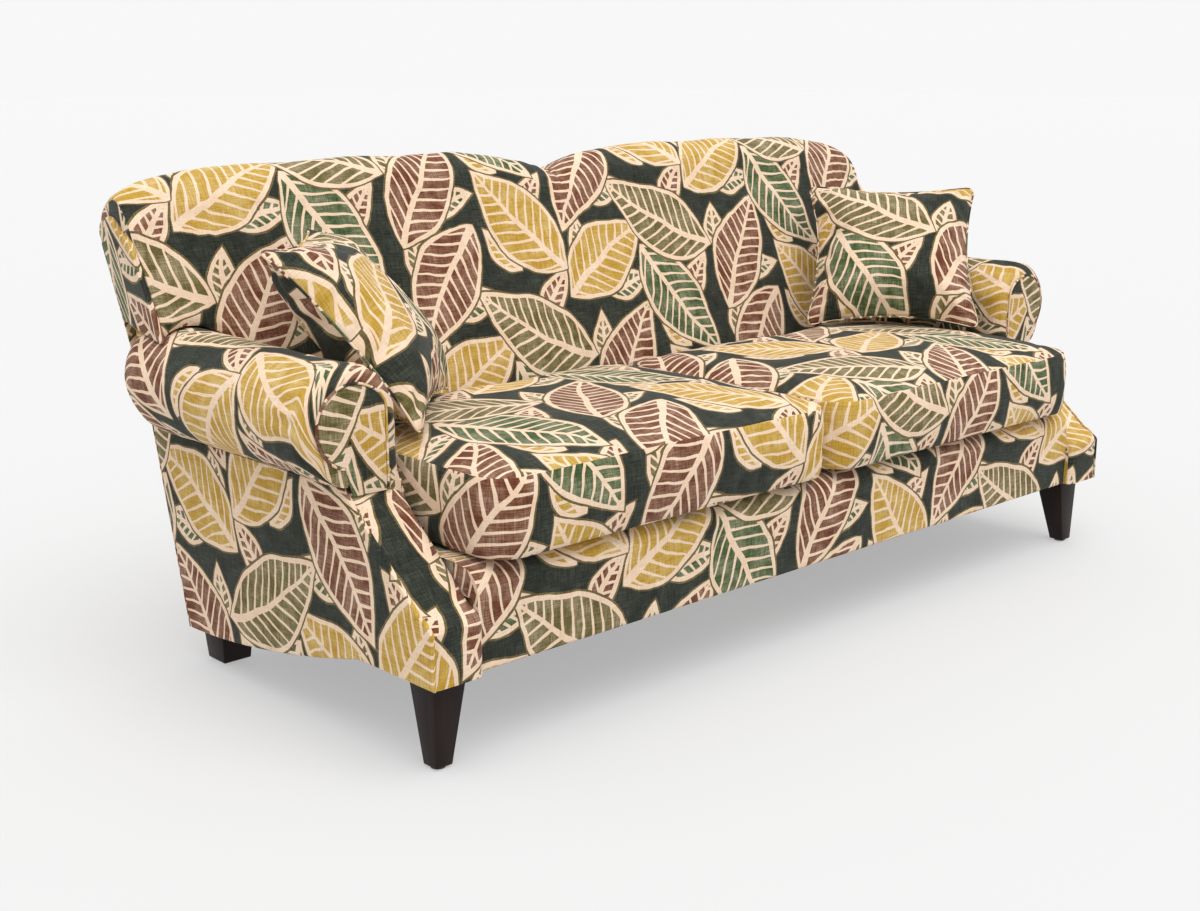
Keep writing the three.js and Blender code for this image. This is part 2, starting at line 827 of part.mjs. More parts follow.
function armPads() {
  const rings = [];
  const front = arm.rollFront;
  for (const share of arm.roundingShares) {
    const inset = arm.frontRounding * (1 - Math.sqrt(1 - (1 - share) ** 2));
    rings.push(armSection(front + arm.frontRounding * share, inset, 0));
  }
  const rounding = arm.endRounding;
  const straight = rollEnd - rounding;
  rings.push(armSection(straight, 0, Math.tan(rake)));
  for (const share of arm.endShares) {
    const inset = arm.frontRounding * (1 - Math.sqrt(1 - share ** 2));
    rings.push(armSection(straight + rounding * share, inset, Math.tan(rake)));
  }
  return pair('arm_pad', loft(rings, flatXZ), 'print');
}

// Scroll facing on the front of the roll: round outside, straight inside, a point at the top.
function armFacings() {
  const radius = arm.rollRadius - arm.frontRounding - arm.facingMargin;
  const inner = armInnerX + arm.facingMargin;
  const foot = panelTop + 2 * fit;
  const shape = new THREE.Shape();
  const drop = Math.min(arm.rollHeight - foot, radius * arm.facingFootShare);
  const outerFoot = rollX + Math.sqrt(radius ** 2 - drop ** 2);
  shape.moveTo(inner, foot);
  shape.lineTo(outerFoot, foot);
  const start = Math.atan2(-drop, outerFoot - rollX);
  for (let i = 0; i <= arm.facingSteps; i += 1) {
    const angle = start + (Math.PI * arm.facingTurnShare - start) * (i / arm.facingSteps);
    shape.lineTo(rollX + radius * Math.cos(angle), arm.rollHeight + radius * Math.sin(angle));
  }
  const shoulder = arm.rollHeight + radius * arm.facingShoulderShare;
  shape.quadraticCurveTo(inner, shoulder + radius * arm.facingEaseShare, inner, shoulder);
  shape.closePath();
  const geometry = new THREE.ExtrudeGeometry(shape, {
    depth: arm.facingThickness, bevelEnabled: false, curveSegments: arm.easeSteps,
  });
  geometry.rotateX(Math.PI / 2);
  geometry.translate(0, arm.rollFront - fit, 0);
  return pair('arm_facing', geometry, 'print');
}

// Flat outside arm, cut to the swept lower edge, the raked rear and the sloping front. A tongue
// of it rises behind the end of the roll, up to the side of the back.
function outsideArms() {
  const rearY = -back.panelThickness - fit;
  const tongueFront = (z) => rollEnd + arm.tongueGap + (z - arm.rollHeight) * Math.tan(rake);
  const tongueTop = arm.rollHeight + arm.rollRadius - back.rollClearance;
  const outline = [
    [slopeAtHeight(panelTop, 0), panelTop],
    [tongueFront(panelTop), panelTop],
    [tongueFront(tongueTop), tongueTop],
    [depthOnRake(tongueTop, rearY), tongueTop],
    [depthOnRake(base.rearUnderside, rearY), base.rearUnderside],
    ...sweepPoints(base.sweepStart, depthOnRake(base.rearUnderside, rearY), 0).reverse().slice(1),
    ...frontProfile(0),
  ];
  return pair('outside_arm', sidePlate(outline, panelInnerX, base.halfWidth), 'printRust');
}

// Back upholstery.
function backRing(x) {
  const ridge = humpHeight(x);
  const points = [];
  const faceTop = ridge - back.frontShoulder;
  for (let i = 0; i <= back.faceSteps; i += 1) {
    const z = back.padFoot + (faceTop - back.padFoot) * (i / back.faceSteps);
    points.push([backFront(x, z), z]);
  }
  const shoulderY = backFront(x, faceTop);
  for (let i = 1; i <= back.shoulderSteps; i += 1) {
    const turn = (Math.PI / 2) * (i / back.shoulderSteps);
    points.push([
      -back.ridgeSetForward + (shoulderY + back.ridgeSetForward) * Math.cos(turn),
      faceTop + back.frontShoulder * Math.sin(turn),
    ]);
  }
  for (let i = 1; i <= back.ridgeSteps; i += 1) {
    const turn = (Math.PI / 2) * (i / back.ridgeSteps);
    points.push([
      -back.ridgeSetForward * (1 - Math.sin(turn)),
      ridge - back.rearShoulder * (1 - Math.cos(turn)),
    ]);
  }
  const wrap = ridge - back.wrapDrop;
  points.push([0, wrap]);
  for (let i = 0; i <= back.rearSteps; i += 1) {
    points.push([padRearY, wrap + (back.padFoot - wrap) * (i / back.rearSteps)]);
  }
  return points.map(([y, z]) => rakedToWorld(flare(x, y, z), y, z));
}

// The back is scribed round the rolls of the arms: a cutter for the room that an arm takes.
function armRoom(side) {
  const clear = insideX - back.rollClearance;
  const steps = arm.rollSteps;
  const reach = (rollX - clear) / Math.cos(Math.PI / (2 * steps));
  const far = backTopHalf + reach;
  const outline = [[clear, 0]];
  for (let i = 0; i <= steps; i += 1) {
    const angle = Math.PI * (1 - i / steps);
    outline.push([rollX + reach * Math.cos(angle), arm.rollHeight + reach * Math.sin(angle)]);
  }
  outline.push([far, arm.rollHeight], [far, 0]);
  const ring = (y) => outline.map(([x, z]) => new THREE.Vector3(side * x, y, z));
  return loft([ring(0), ring(2 * base.depth)], flatXZ);
}

function backPad() {
  const end = 1 - (back.borderThickness + fit) / backArmHalf;
  const right = [...crownShares, end].map((share) => backRing(backArmHalf * share));
  const left = right.slice(1).reverse().map((ring) => (
    ring.map((p) => new THREE.Vector3(-p.x, p.y, p.z))
  ));
  const whole = loft([...left, ...right], flatYZ);
  return [piece('back_pad', cutAway(whole, [armRoom(1), armRoom(-1)]), 'printDark')];
}

// Border panels close the sides of the back, from the roll up to the corner.
function backBorders() {
  const x = backArmHalf;
  const top = back.corner - back.frontShoulder * back.borderDropShare;
  const foot = rakedHeight(arm.rollHeight, 0);
  const ring = (at) => {
    const section = back.borderShares.map((share) => {
      const z = foot + (top - foot) * share;
      return [backFront(x, z) + fit, z];
    });
    section.push([-back.ridgeSetForward - fit, top]);
    section.push([-back.ridgeSetForward / 2, top]);
    section.push([frameY, top - back.rearShoulder]);
    section.push([frameY, foot]);
    return section.map(([y, z]) => rakedToWorld(flare(at, y, z), y, z));
  };
  const whole = loft([ring(x - back.borderThickness), ring(x)], flatYZ);
  return pair('back_border', cutAway(whole, [armRoom(1)]), 'print');
}

function outsideBack() {
  const rise = rakedHeight(panelTop, 0);
  const sideTop = back.corner - back.wrapDrop - back.wrapSlack;
  const side = [[base.halfWidth, 0]];
  for (const share of back.sideShares) {
    const z = rise + (sideTop - rise) * share;
    side.push([rearHalfWidth(z) - fit, z]);
  }
  const { right, left } = wrapLine(rearHalfWidth(sideTop) - back.borderThickness);
  const otherSide = side.map(([x, z]) => [-x, z]).reverse();
  const outline = [...side, ...right.reverse(), ...left.reverse(), ...otherSide];
  const ring = (y) => outline.map(([x, z]) => new THREE.Vector3(x, y, z));
  const geometry = raked(loft([ring(-back.panelThickness), ring(0)], flatXZ));
  return [piece('outside_back', geometry, 'printDark')];
}

// Loose cushions.
function roundedPlan(halfX, halfY, corner, drawIn, scale) {
  const points = [];
  const sides = [
    [halfX, -halfY + corner, halfX, halfY - corner, -1, 0, 0],
    [halfX - corner, halfY, -halfX + corner, halfY, 0, -1, 90],
    [-halfX, halfY - corner, -halfX, -halfY + corner, 1, 0, 180],
    [-halfX + corner, -halfY, halfX - corner, -halfY, 0, 1, 270],
  ];
  for (const [xa, ya, xb, yb, nx, ny, degrees] of sides) {
    for (let i = 0; i <= seat.sideSteps; i += 1) {
      const t = i / seat.sideSteps;
      const pull = drawIn * (1 - (2 * t - 1) ** 2);
      points.push([xa + (xb - xa) * t + nx * pull, ya + (yb - ya) * t + ny * pull]);
    }
    const cx = xb + nx * corner;
    const cy = yb + ny * corner;
    for (let i = 1; i < seat.cornerSteps; i += 1) {
      const angle = THREE.MathUtils.degToRad(degrees + (90 * i) / seat.cornerSteps);
      points.push([cx + corner * Math.cos(angle), cy + corner * Math.sin(angle)]);
    }
  }
  return points.map(([x, y]) => [x * scale, y * scale]);
}

// Rings of a box cushion from below, as shares of its plan, its bulge, its thickness and its crown.
const boxCushionShares = [
  [0.6, 0, 0, 0], [0.97, 0, 0, 0], [1, 0, 0.07, 0], [1, 0.8, 0.28, 0], [1, 1, 0.5, 0],
  [1, 0.8, 0.74, 0], [1, 0, 0.94, 0], [0.975, 0, 1, 1], [0.88, 0, 1, 1], [0.72, 0, 1, 1],
  [0.5, 0, 1, 1], [0.25, 0, 1, 1],
];

// A box cushion: flat below, bulging boxing drawn in between the corners, crowned top.
function boxCushion(width, depth, thickness, crown) {
  const halfX = width / 2 - seat.boxingBulge;
  const halfY = depth / 2 - seat.boxingBulge;
  const swell = (at, half) => 1 - Math.min(1, Math.abs(at) / half) ** seat.crownPowerShare;
  const rings = boxCushionShares.map(([scale, bulge, height, rise]) => {
    const out = seat.boxingBulge * bulge;
    return roundedPlan(halfX + out, halfY + out, seat.cushionCorner, seat.cushionDrawIn, scale)
      .map(([x, y]) => {
        const lift = crown * rise * swell(x, halfX) * swell(y, halfY);
        return new THREE.Vector3(x, y, thickness * height + lift);
      });
  });
  const foot = new THREE.Vector3(0, 0, 0);
  const top = new THREE.Vector3(0, 0, thickness + crown);
  return loft([[foot], ...rings, [top]], flatXY);
}

function seatCushions() {
  const width = insideX - seat.cushionSideGap - seat.cushionCentreGap;
  const depth = base.depth - seat.cushionRearRoom + seat.cushionOverhang;
  const geometry = boxCushion(width, depth, seat.cushionThickness, seat.cushionCrown);
  const x = seat.cushionCentreGap + width / 2;
  const y = depth / 2 - seat.cushionOverhang;
  return [[1, 'right'], [-1, 'left']].map(([side, name]) => {
    const mesh = piece(`seat_cushion_${name}`, geometry.clone(), 'print');
    mesh.position.set(side * x, y, cushionBottom);
    return mesh;
  });
}

// A knife-edge cushion: two crowned faces, sides pulled in between pointed corners.
function knifeCushion(size, plumpness) {
  const half = size / 2;
  const outline = [];
  for (let side = 0; side < 4; side += 1) {
    const turn = (Math.PI / 2) * side;
    for (let i = 0; i < scatter.sideSteps; i += 1) {
      const t = (2 * i) / scatter.sideSteps - 1;
      const pull = scatter.drawIn * (1 - t * t);
      const x = half - pull;
      const y = half * t;
      outline.push([x * Math.cos(turn) - y * Math.sin(turn), x * Math.sin(turn) + y * Math.cos(turn)]);
    }
  }
  const fill = (at) => 1 - Math.min(1, Math.abs(at) / half) ** scatter.swellPowerShare;
  const ring = (scale, side) => outline.map(([x, y]) => {
    const swell = (fill(x * scale) * fill(y * scale)) ** scatter.edgePowerShare;
    const rise = scatter.seam / 2 + (plumpness / 2 - scatter.seam / 2) * swell;
    return new THREE.Vector3(x * scale, y * scale, side * rise);
  });
  const lower = [...scatter.ringShares].reverse();
  return loft([
    [new THREE.Vector3(0, 0, -plumpness / 2)],
    ...lower.map((scale) => ring(scale, -1)),
    ...scatter.ringShares.map((scale) => ring(scale, 1)),
    [new THREE.Vector3(0, 0, plumpness / 2)],
  ], flatXY);
}

// How far a form can move along a direction before it meets other solids. The search starts a
// little way back, so that it can also ask for a small move away from them.
function travel(geometry, way, stills) {
  let clear = -scatter.backOff;
  let blocked = scatter.size;
  while (blocked - clear > fit / 10) {
    const middle = (clear + blocked) / 2;
    const moved = geometry.clone().translate(way.x * middle, way.y * middle, way.z * middle);
    const solid = toManifold(moved);
    const hit = stills.some((still) => !solid.intersect(still).isEmpty());
    if (hit) blocked = middle;
    else clear = middle;
  }
  return clear;
}

function placedSolid(mesh) {
  mesh.updateMatrixWorld(true);
  return toManifold(mesh.geometry.clone().applyMatrix4(mesh.matrixWorld));
}

// Stands a scatter cushion on the right seat and leans it into the corner of arm and back.
function leantCushion(place, seatMesh, armMesh, backMesh) {
  const geometry = knifeCushion(scatter.size, scatter.plumpness);
  geometry.translate(0, scatter.size / 2, 0);
  const lean = THREE.MathUtils.degToRad(place.leanDegrees);
  const turn = THREE.MathUtils.degToRad(-place.turnDegrees);
  geometry.rotateX(Math.PI / 2 - lean);
  geometry.rotateZ(turn);
  const centreX = insideX - place.armRoom - (scatter.size / 2) * Math.cos(turn);
  const centreY = base.depth - place.backRoom - (scatter.size / 2) * Math.sin(turn);
  const level = cushionBottom + seat.cushionThickness + seat.cushionCrown + scatter.lift;
  geometry.translate(centreX, centreY, level);
  const below = [placedSolid(seatMesh)];
  const behind = [placedSolid(armMesh), placedSolid(backMesh)];
  const down = new THREE.Vector3(0, 0, -1);
  const inward = new THREE.Vector3(-Math.sin(turn), Math.cos(turn), 0);
  const drop = { way: down, stills: below, gap: fit };
  const push = { way: inward, stills: behind, gap: scatter.edgeRoom };
  for (const { way, stills, gap } of [drop, push, drop, push, drop]) {
    const step = travel(geometry, way, stills) - gap;
    geometry.translate(way.x * step, way.y * step, way.z * step);
  }
  return geometry;
}

function scatterCushions(seatMesh, armMesh, backMesh) {
  const right = leantCushion(scatterPlaces.right, seatMesh, armMesh, backMesh);
  const left = mirrored(leantCushion(scatterPlaces.left, seatMesh, armMesh, backMesh));
  return [
    piece('scatter_cushion_right', right, 'printDark'),
    piece('scatter_cushion_left', left, 'printDark'),
  ];
}

// Legs, with hanger bolts, corner blocks and glides.
function legPlaces() {
  const x1 = base.halfWidth - leg.insetX;
  const frontY = leg.insetFront;
  const rearY = base.depth + leg.insetRear - leg.top;
  const frontBolt = frontY + leg.top - bolt.insetFromTop;
  return [
    { name: 'front', x1, y0: frontY, foot: leg.frontFoot, boltY: frontBolt },
    { name: 'rear', x1, y0: rearY, foot: leg.rearFoot, boltY: rearY + bolt.insetRear },
  ];
}

function boltX(place) {
  return place.x1 - leg.top + bolt.insetFromTop;
}

function legGeometry(place) {
  const top = (x, y) => new THREE.Vector3(x, y, underside(y) - fit);
  const x0 = place.x1 - leg.top;
  const y1 = place.y0 + leg.top;
  const fx1 = place.x1 - leg.outerTaper;
  const fx0 = fx1 - place.foot;
  const fy0 = place.y0 + leg.outerTaper;
  const fy1 = fy0 + place.foot;
  const edge = leg.edge;
  const low = leg.gliderHeight + fit;
  const foot = (inset, z) => [
    new THREE.Vector3(fx0 + inset, fy0 + inset, z),
    new THREE.Vector3(fx1 - inset, fy0 + inset, z),
    new THREE.Vector3(fx1 - inset, fy1 - inset, z),
    new THREE.Vector3(fx0 + inset, fy1 - inset, z),
  ];
  const head = [
    top(x0, place.y0),
    top(place.x1, place.y0),
    top(place.x1, y1),
    top(x0, y1),
  ];
  const body = loft([foot(edge, low), foot(0, low + edge), head], flatXY);
  const z0 = underside(place.boltY) - bolt.depth - fit;
  const z1 = base.frontUnderside + bolt.depth;
  const hole = uprightCylinder(boltX(place), place.boltY, z0, z1, bolt.radius + fit, bolt.sides);
  return cutAway(body, [hole]);
}

function legs() {
  const meshes = [];
  for (const place of legPlaces()) {
    meshes.push(...pair(`leg_${place.name}`, legGeometry(place), 'espresso'));
    const level = underside(place.boltY);
    const top = level + timberLift + timber.blockHeight - fit;
    const shank = uprightCylinder(
      boltX(place), place.boltY, level - bolt.depth, top, bolt.radius, bolt.sides,
    );
    meshes.push(...pair(`leg_bolt_${place.name}`, shank, 'steel'));
    const gx = place.x1 - leg.outerTaper - place.foot / 2;
    const gy = place.y0 + leg.outerTaper + place.foot / 2;
    const glide = uprightCylinder(gx, gy, 0, leg.gliderHeight, leg.gliderRadius, leg.gliderSides);
    meshes.push(...pair(`leg_glide_${place.name}`, glide, 'nylon'));
  }
  return meshes;
}

// Glued blocks in the corners of the base, bored for the leg bolts.
function cornerBlocks() {
  const meshes = [];
  const places = legPlaces();
  const x1 = postInnerX - fit;
  const frontY = railRearY + fit;
  const size = timber.blockSize;
  const cut = size * timber.blockCutShare;
  const outline = (x, y, step) => [
    [x, y], [x, y + step * size], [x - cut, y + step * size], [x - size, y + step * cut],
    [x - size, y],
  ];
  places.forEach((place) => {
    const isFront = place.name === 'front';
    const rearFace = depthOnRake(base.rearUnderside + timber.blockHeight, frameFrontY - fit) - 4 * fit;
    const rearY = Math.min(rearFace, base.depth - timber.thickness - timber.blockRearRoom);
    const y = isFront ? frontY : rearY;
    const x = isFront ? x1 + timber.thickness : railInnerX - fit;
    const plan = outline(x, y, isFront ? 1 : -1);
    const foot = underside(Math.min(...plan.map(([, py]) => py))) + timberLift;
    const ring = (z) => plan.map(([px, py]) => new THREE.Vector3(px, py, z));
    const body = loft([ring(foot), ring(foot + timber.blockHeight)], flatXY);
    const drill = uprightCylinder(
      boltX(place), place.boltY, -bolt.depth, base.frontUnderside + 2 * timber.blockHeight,
      bolt.radius + fit, bolt.sides,
    );
    meshes.push(...pair(`corner_block_${place.name}`, cutAway(body, [drill]), 'beech'));
  });
  return meshes;
}

// Dust cover under the base, bored for the leg bolts.
function dustSheet() {
  const half = panelInnerX - fit;
  const rear = depthOnRake(base.rearUnderside, frameY) - fit;
  const rings = sweepPoints(railFrontY, rear, fit).map(([y, low]) => {
    const high = low + dustCover.thickness;
    return [[-half, low], [half, low], [half, high], [-half, high]].map(([x, z]) => (
      new THREE.Vector3(x, y, z)
    ));
  });
  const holes = [];
  for (const place of legPlaces()) {
    for (const side of [1, -1]) {
      holes.push(uprightCylinder(
        side * boltX(place), place.boltY, 0, base.frontUnderside + timber.blockHeight,
        bolt.radius + fit, bolt.sides,
      ));
    }
  }
  return [piece('dust_cover', cutAway(loft(rings, flatXZ), holes), 'lining')];
}

const seats = seatCushions();
const arms = armPads();
const backs = backPad();

const sofa = new THREE.Group();
const upholstery = new THREE.Group();
const frame = new THREE.Group();
frame.add(
  ...sideRails(), ...armPosts(), ...armBoards(), ...armTuckRails(), ...crossRails(),
  ...centreStretcher(), ...backFrame(), ...backTopRail(), ...cornerBlocks(), ...springs(),
);
upholstery.add(
  ...deckPad(), ...railCover(), ...armFronts(), ...arms, ...armFacings(), ...outsideArms(),
  ...backs, ...backBorders(), ...outsideBack(), ...dustSheet(), ...seats,
  ...scatterCushions(seats[0], arms[0], backs[0]),
);
sofa.add(frame, upholstery, ...legs());

// The origin is on the floor, at the middle of the sofa's outline.
const outlineBox = new THREE.Box3().setFromObject(sofa);
sofa.position.y = -(outlineBox.min.y + outlineBox.max.y) / 2;
sofa.updateMatrixWorld(true);

export default sofa;
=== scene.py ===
"""English roll arm sofa in a printed linen: its finished look, built piece by piece round its frame."""
import json
import logging
import math
from collections.abc import Callable
from dataclasses import dataclass
from enum import Enum

import bmesh
import bpy
import numpy as np
from bpy.types import ID, Material, Mesh, Node, NodeSocket, NodeTree, Object, bpy_prop_collection
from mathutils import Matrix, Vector

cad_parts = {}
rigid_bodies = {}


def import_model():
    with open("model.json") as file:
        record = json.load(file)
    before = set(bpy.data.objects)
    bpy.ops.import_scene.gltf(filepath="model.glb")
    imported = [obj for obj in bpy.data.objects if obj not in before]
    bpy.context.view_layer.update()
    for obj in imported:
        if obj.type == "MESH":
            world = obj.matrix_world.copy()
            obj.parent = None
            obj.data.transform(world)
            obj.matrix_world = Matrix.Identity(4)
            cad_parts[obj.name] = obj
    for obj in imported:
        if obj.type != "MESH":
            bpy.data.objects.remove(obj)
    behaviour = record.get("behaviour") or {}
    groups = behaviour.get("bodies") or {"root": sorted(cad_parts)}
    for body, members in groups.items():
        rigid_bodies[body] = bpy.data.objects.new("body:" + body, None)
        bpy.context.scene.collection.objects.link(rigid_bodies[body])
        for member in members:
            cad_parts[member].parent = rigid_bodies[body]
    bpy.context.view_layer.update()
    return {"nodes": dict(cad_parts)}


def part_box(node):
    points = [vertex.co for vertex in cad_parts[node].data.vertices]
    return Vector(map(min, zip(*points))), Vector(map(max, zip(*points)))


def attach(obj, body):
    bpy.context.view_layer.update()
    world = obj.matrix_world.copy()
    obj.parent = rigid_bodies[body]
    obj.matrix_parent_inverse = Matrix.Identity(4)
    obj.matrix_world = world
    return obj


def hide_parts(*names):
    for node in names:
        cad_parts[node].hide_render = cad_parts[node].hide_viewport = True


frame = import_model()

MERGE = 2e-5
CLEAR = 0.0003
CLOTH_MAP = "cloth"
TURN = 2 * np.pi
UP = (0.0, 0.0, 1.0)
NO_CREASE = 180

Array = np.ndarray
Pair = tuple[float, float]
Triple = tuple[float, float, float]

log = logging.getLogger("sofa")


class Side(Enum):
    """The two sides of the sofa, seen from the front."""

    RIGHT = 1
    LEFT = -1

    def node(self, stem: str) -> str:
        """Names the node of this side from its stem."""
        return f"{stem}_{self.name.lower()}"


class Ink(Enum):
    """The dyes of the printed linen, as screen colours."""

    GROUND = "2c3027"
    CREAM = "dfc7ae"
    RUST = "70422c"
    OLIVE = "6a6237"
    GREEN = "465c36"
    MUSTARD = "b7963d"
    KEYLINE = "6b5d39"


def linear(screen: str) -> tuple[float, float, float, float]:
    """Turns a screen colour of six hexadecimal digits into a linear one with a full alpha."""
    parts = [int(screen[i:i + 2], 16) / 255 for i in (0, 2, 4)]
    return (*[c / 12.92 if c <= 0.04045 else ((c + 0.055) / 1.055) ** 2.4 for c in parts], 1.0)


class Graph:
    """Short calls for the nodes of one tree."""

    def __init__(self, tree: NodeTree) -> None:
        """Keeps the tree."""
        self.tree = tree

    def node(self, kind: str, **settings: object) -> Node:
        """Adds a node and sets its attributes.

        Args:
            kind: The node's type name.
            settings: Attributes to set on it.

        Returns:
            The new node.
        """
        made = self.tree.nodes.new(kind)
        for name, value in settings.items():
            setattr(made, name, value)
        return made

    def put(self, socket: NodeSocket, value: object) -> None:
        """Links a socket to another, or sets its value.

        Args:
            socket: The input socket.
            value: An output socket, or a plain value.
        """
        if isinstance(value, NodeSocket):
            self.tree.links.new(value, socket)
        else:
            socket.default_value = value

    def feed(self, sockets: bpy_prop_collection, **values: object) -> None:
        """Puts values into sockets by their names, with underscores for spaces."""
        for name, value in values.items():
            self.put(sockets[name.replace("_", " ")], value)

    def fed(self, kind: str, values: tuple, **settings: object) -> NodeSocket:
        """Adds a node, feeds its inputs in order and gives its first output.

        Args:
            kind: The node's type name.
            values: What goes into its inputs.
            settings: Attributes to set on it.

        Returns:
            The first output.
        """
        made = self.node(kind, **settings)
        for socket, value in zip(made.inputs, values):
            self.put(socket, value)
        return made.outputs[0]

    def math(self, operation: str, *values: object, clamp: bool = False) -> NodeSocket:
        """Works out a number."""
        return self.fed("ShaderNodeMath", values, operation=operation, use_clamp=clamp)

    def vector(self, operation: str, *values: object) -> NodeSocket:
        """Works out a vector."""
        return self.fed("ShaderNodeVectorMath", values, operation=operation)

    def split(self, vector: object) -> bpy_prop_collection:
        """Takes a vector apart.

        Args:
            vector: The vector.

        Returns:
            Its three numbers.
        """
        made = self.node("ShaderNodeSeparateXYZ")
        self.put(made.inputs[0], vector)
        return made.outputs

    def mix(self, share: object, under: object, over: object, blend: str = "MIX") -> NodeSocket:
        """Lays one colour over another.

        Args:
            share: How much of the upper colour shows.
            under: The lower colour.
            over: The upper colour.
            blend: How they blend.

        Returns:
            The mixed colour.
        """
        made = self.node("ShaderNodeMix", data_type="RGBA", blend_type=blend, clamp_factor=True)
        for index, value in ((0, share), (6, under), (7, over)):
            self.put(made.inputs[index], value)
        return made.outputs[2]

    def noise(self, place: object, scale: float, detail: float = 2.0, rough: float = 0.5) -> Node:
        """Adds a noise texture.

        Args:
            place: Where it is read.
            scale: Its scale.
            detail: How many finer layers it has.
            rough: How strong the finer layers are.

        Returns:
            The texture node.
        """
        made = self.node("ShaderNodeTexNoise")
        self.feed(made.inputs, Vector=place, Scale=scale, Detail=detail, Roughness=rough)
        return made

    def remap(self, value: object, low: float, high: float,
              new_low: float = 0.0, new_high: float = 1.0) -> NodeSocket:
        """Stretches a range onto another and stops at its ends."""
        return self.fed("ShaderNodeMapRange", (value, low, high, new_low, new_high), clamp=True)

    def mask(self, inside: object, softness: float = 0.0007) -> NodeSocket:
        """Turns a distance inside an edge, in metres, into a mask with a soft edge."""
        return self.math("MULTIPLY_ADD", inside, 1 / softness, 0.5, clamp=True)

    def use(self, group: NodeTree, **values: object) -> bpy_prop_collection:
        """Places a shader group.

        Args:
            group: The group.
            values: Its inputs, with underscores for spaces.

        Returns:
            The group's outputs.
        """
        made = self.node("ShaderNodeGroup", node_tree=group)
        self.feed(made.inputs, **values)
        return made.outputs


SOCKETS = {
    "number": "NodeSocketFloat", "vector": "NodeSocketVector", "colour": "NodeSocketColor",
    "material": "NodeSocketMaterial", "shape": "NodeSocketGeometry",
}


def shader_group(name: str, takes: dict[str, str], gives: dict[str, str]) -> tuple:
    """Starts a shader group with named sockets.

    Args:
        name: The group's name.
        takes: Kind of each input by its name.
        gives: Kind of each output by its name.

    Returns:
        The group, its graph, and its inputs and outputs by name.
    """
    group = bpy.data.node_groups.new(name, "ShaderNodeTree")
    for words, way in ((takes, "INPUT"), (gives, "OUTPUT")):
        for word, kind in words.items():
            group.interface.new_socket(word, in_out=way, socket_type=SOCKETS[kind])
    graph = Graph(group)
    return group, graph, graph.node("NodeGroupInput").outputs, graph.node("NodeGroupOutput").inputs


def placed_group() -> NodeTree:
    """Builds the group that finds a place's own spot in the nearest copy of a motif.

    Returns:
        The group.
    """
    takes = {"Spot": "vector", "Centre": "vector", "Turn": "number",
             "Width": "number", "Height": "number", "Drop": "number"}
    gives = {"Along": "number", "Across": "number"}
    group, graph, given, leaving = shader_group("nearest_copy", takes, gives)
    away = graph.split(graph.vector("SUBTRACT", given["Spot"], given["Centre"]))
    column = graph.math("FLOOR", graph.math("ADD", graph.math("DIVIDE", away[0], given["Width"]), 0.5))
    x = graph.math("SUBTRACT", away[0], graph.math("MULTIPLY", column, given["Width"]))
    y = graph.math("SUBTRACT", away[1], graph.math("MULTIPLY", column, given["Drop"]))
    half = graph.math("MULTIPLY", given["Height"], 0.5)
    y = graph.math("WRAP", y, half, graph.math("MULTIPLY", half, -1.0))
    turned = graph.node("ShaderNodeVectorRotate", rotation_type="Z_AXIS")
    graph.put(turned.inputs["Vector"], graph.fed("ShaderNodeCombineXYZ", (x, y)))
    graph.put(turned.inputs["Angle"], graph.math("MULTIPLY", given["Turn"], -1.0))
    ends = graph.split(turned.outputs[0])
    graph.feed(leaving, Along=ends[0], Across=ends[1])
    return group


@dataclass(frozen=True)
class LeafLines:
    """How a leaf is drawn: margin, veins and lines, in metres."""

    margin: float = 0.0115
    vein_slant: float = 0.75
    vein_half: float = 0.004
    vein_taper: float = 0.5
    rib_half: float = 0.0054
    key_half: float = 0.0021
    skew: float = 0.28

    def group(self) -> NodeTree:
        """Builds the group that draws a leaf.

        Returns:
            The group, with masks for the leaf's body, its dyed blade and its outline.
        """
        takes = dict.fromkeys(("Along", "Across", "Half Length", "Half Width", "Bend", "Vein Gap"), "number")
        group, graph, given, leaving = shader_group(
            "plain_leaf", takes, dict.fromkeys(("Body", "Blade", "Line"), "number"))
        t = graph.math("DIVIDE", given["Along"], given["Half Length"])
        dome = graph.math("SUBTRACT", 1.0, graph.math("MULTIPLY", t, t))
        skew = graph.math("MAXIMUM", graph.math("MULTIPLY_ADD", t, -self.skew, 1.0), 0.1)
        reach = graph.math("MULTIPLY", graph.math("MULTIPLY", dome, skew), given["Half Width"])
        away = graph.math("ABSOLUTE", graph.math("SUBTRACT", given["Across"],
                                                 graph.math("MULTIPLY", dome, given["Bend"])))
        inside = graph.math("SUBTRACT", reach, away)
        share = graph.math("DIVIDE", away, graph.math("MAXIMUM", reach, MERGE))
        slanted = graph.math("MULTIPLY_ADD", away, -self.vein_slant, given["Along"])
        to_vein = graph.math("PINGPONG", slanted, graph.math("MULTIPLY", given["Vein Gap"], 0.5))
        vein = graph.math("MULTIPLY_ADD", share, -self.vein_half * self.vein_taper, self.vein_half)
        rib = graph.math("MULTIPLY_ADD", t, -self.rib_half / 2, self.rib_half)
        blade = graph.mask(graph.math("SUBTRACT", inside, self.margin))
        for far, near in ((to_vein, vein), (away, rib)):
            blade = graph.math("MULTIPLY", blade, graph.mask(graph.math("SUBTRACT", far, near)))
        line = graph.math("SUBTRACT", self.key_half, graph.math("ABSOLUTE", inside))
        graph.feed(leaving, Body=graph.mask(inside), Blade=blade, Line=graph.mask(line))
        return group


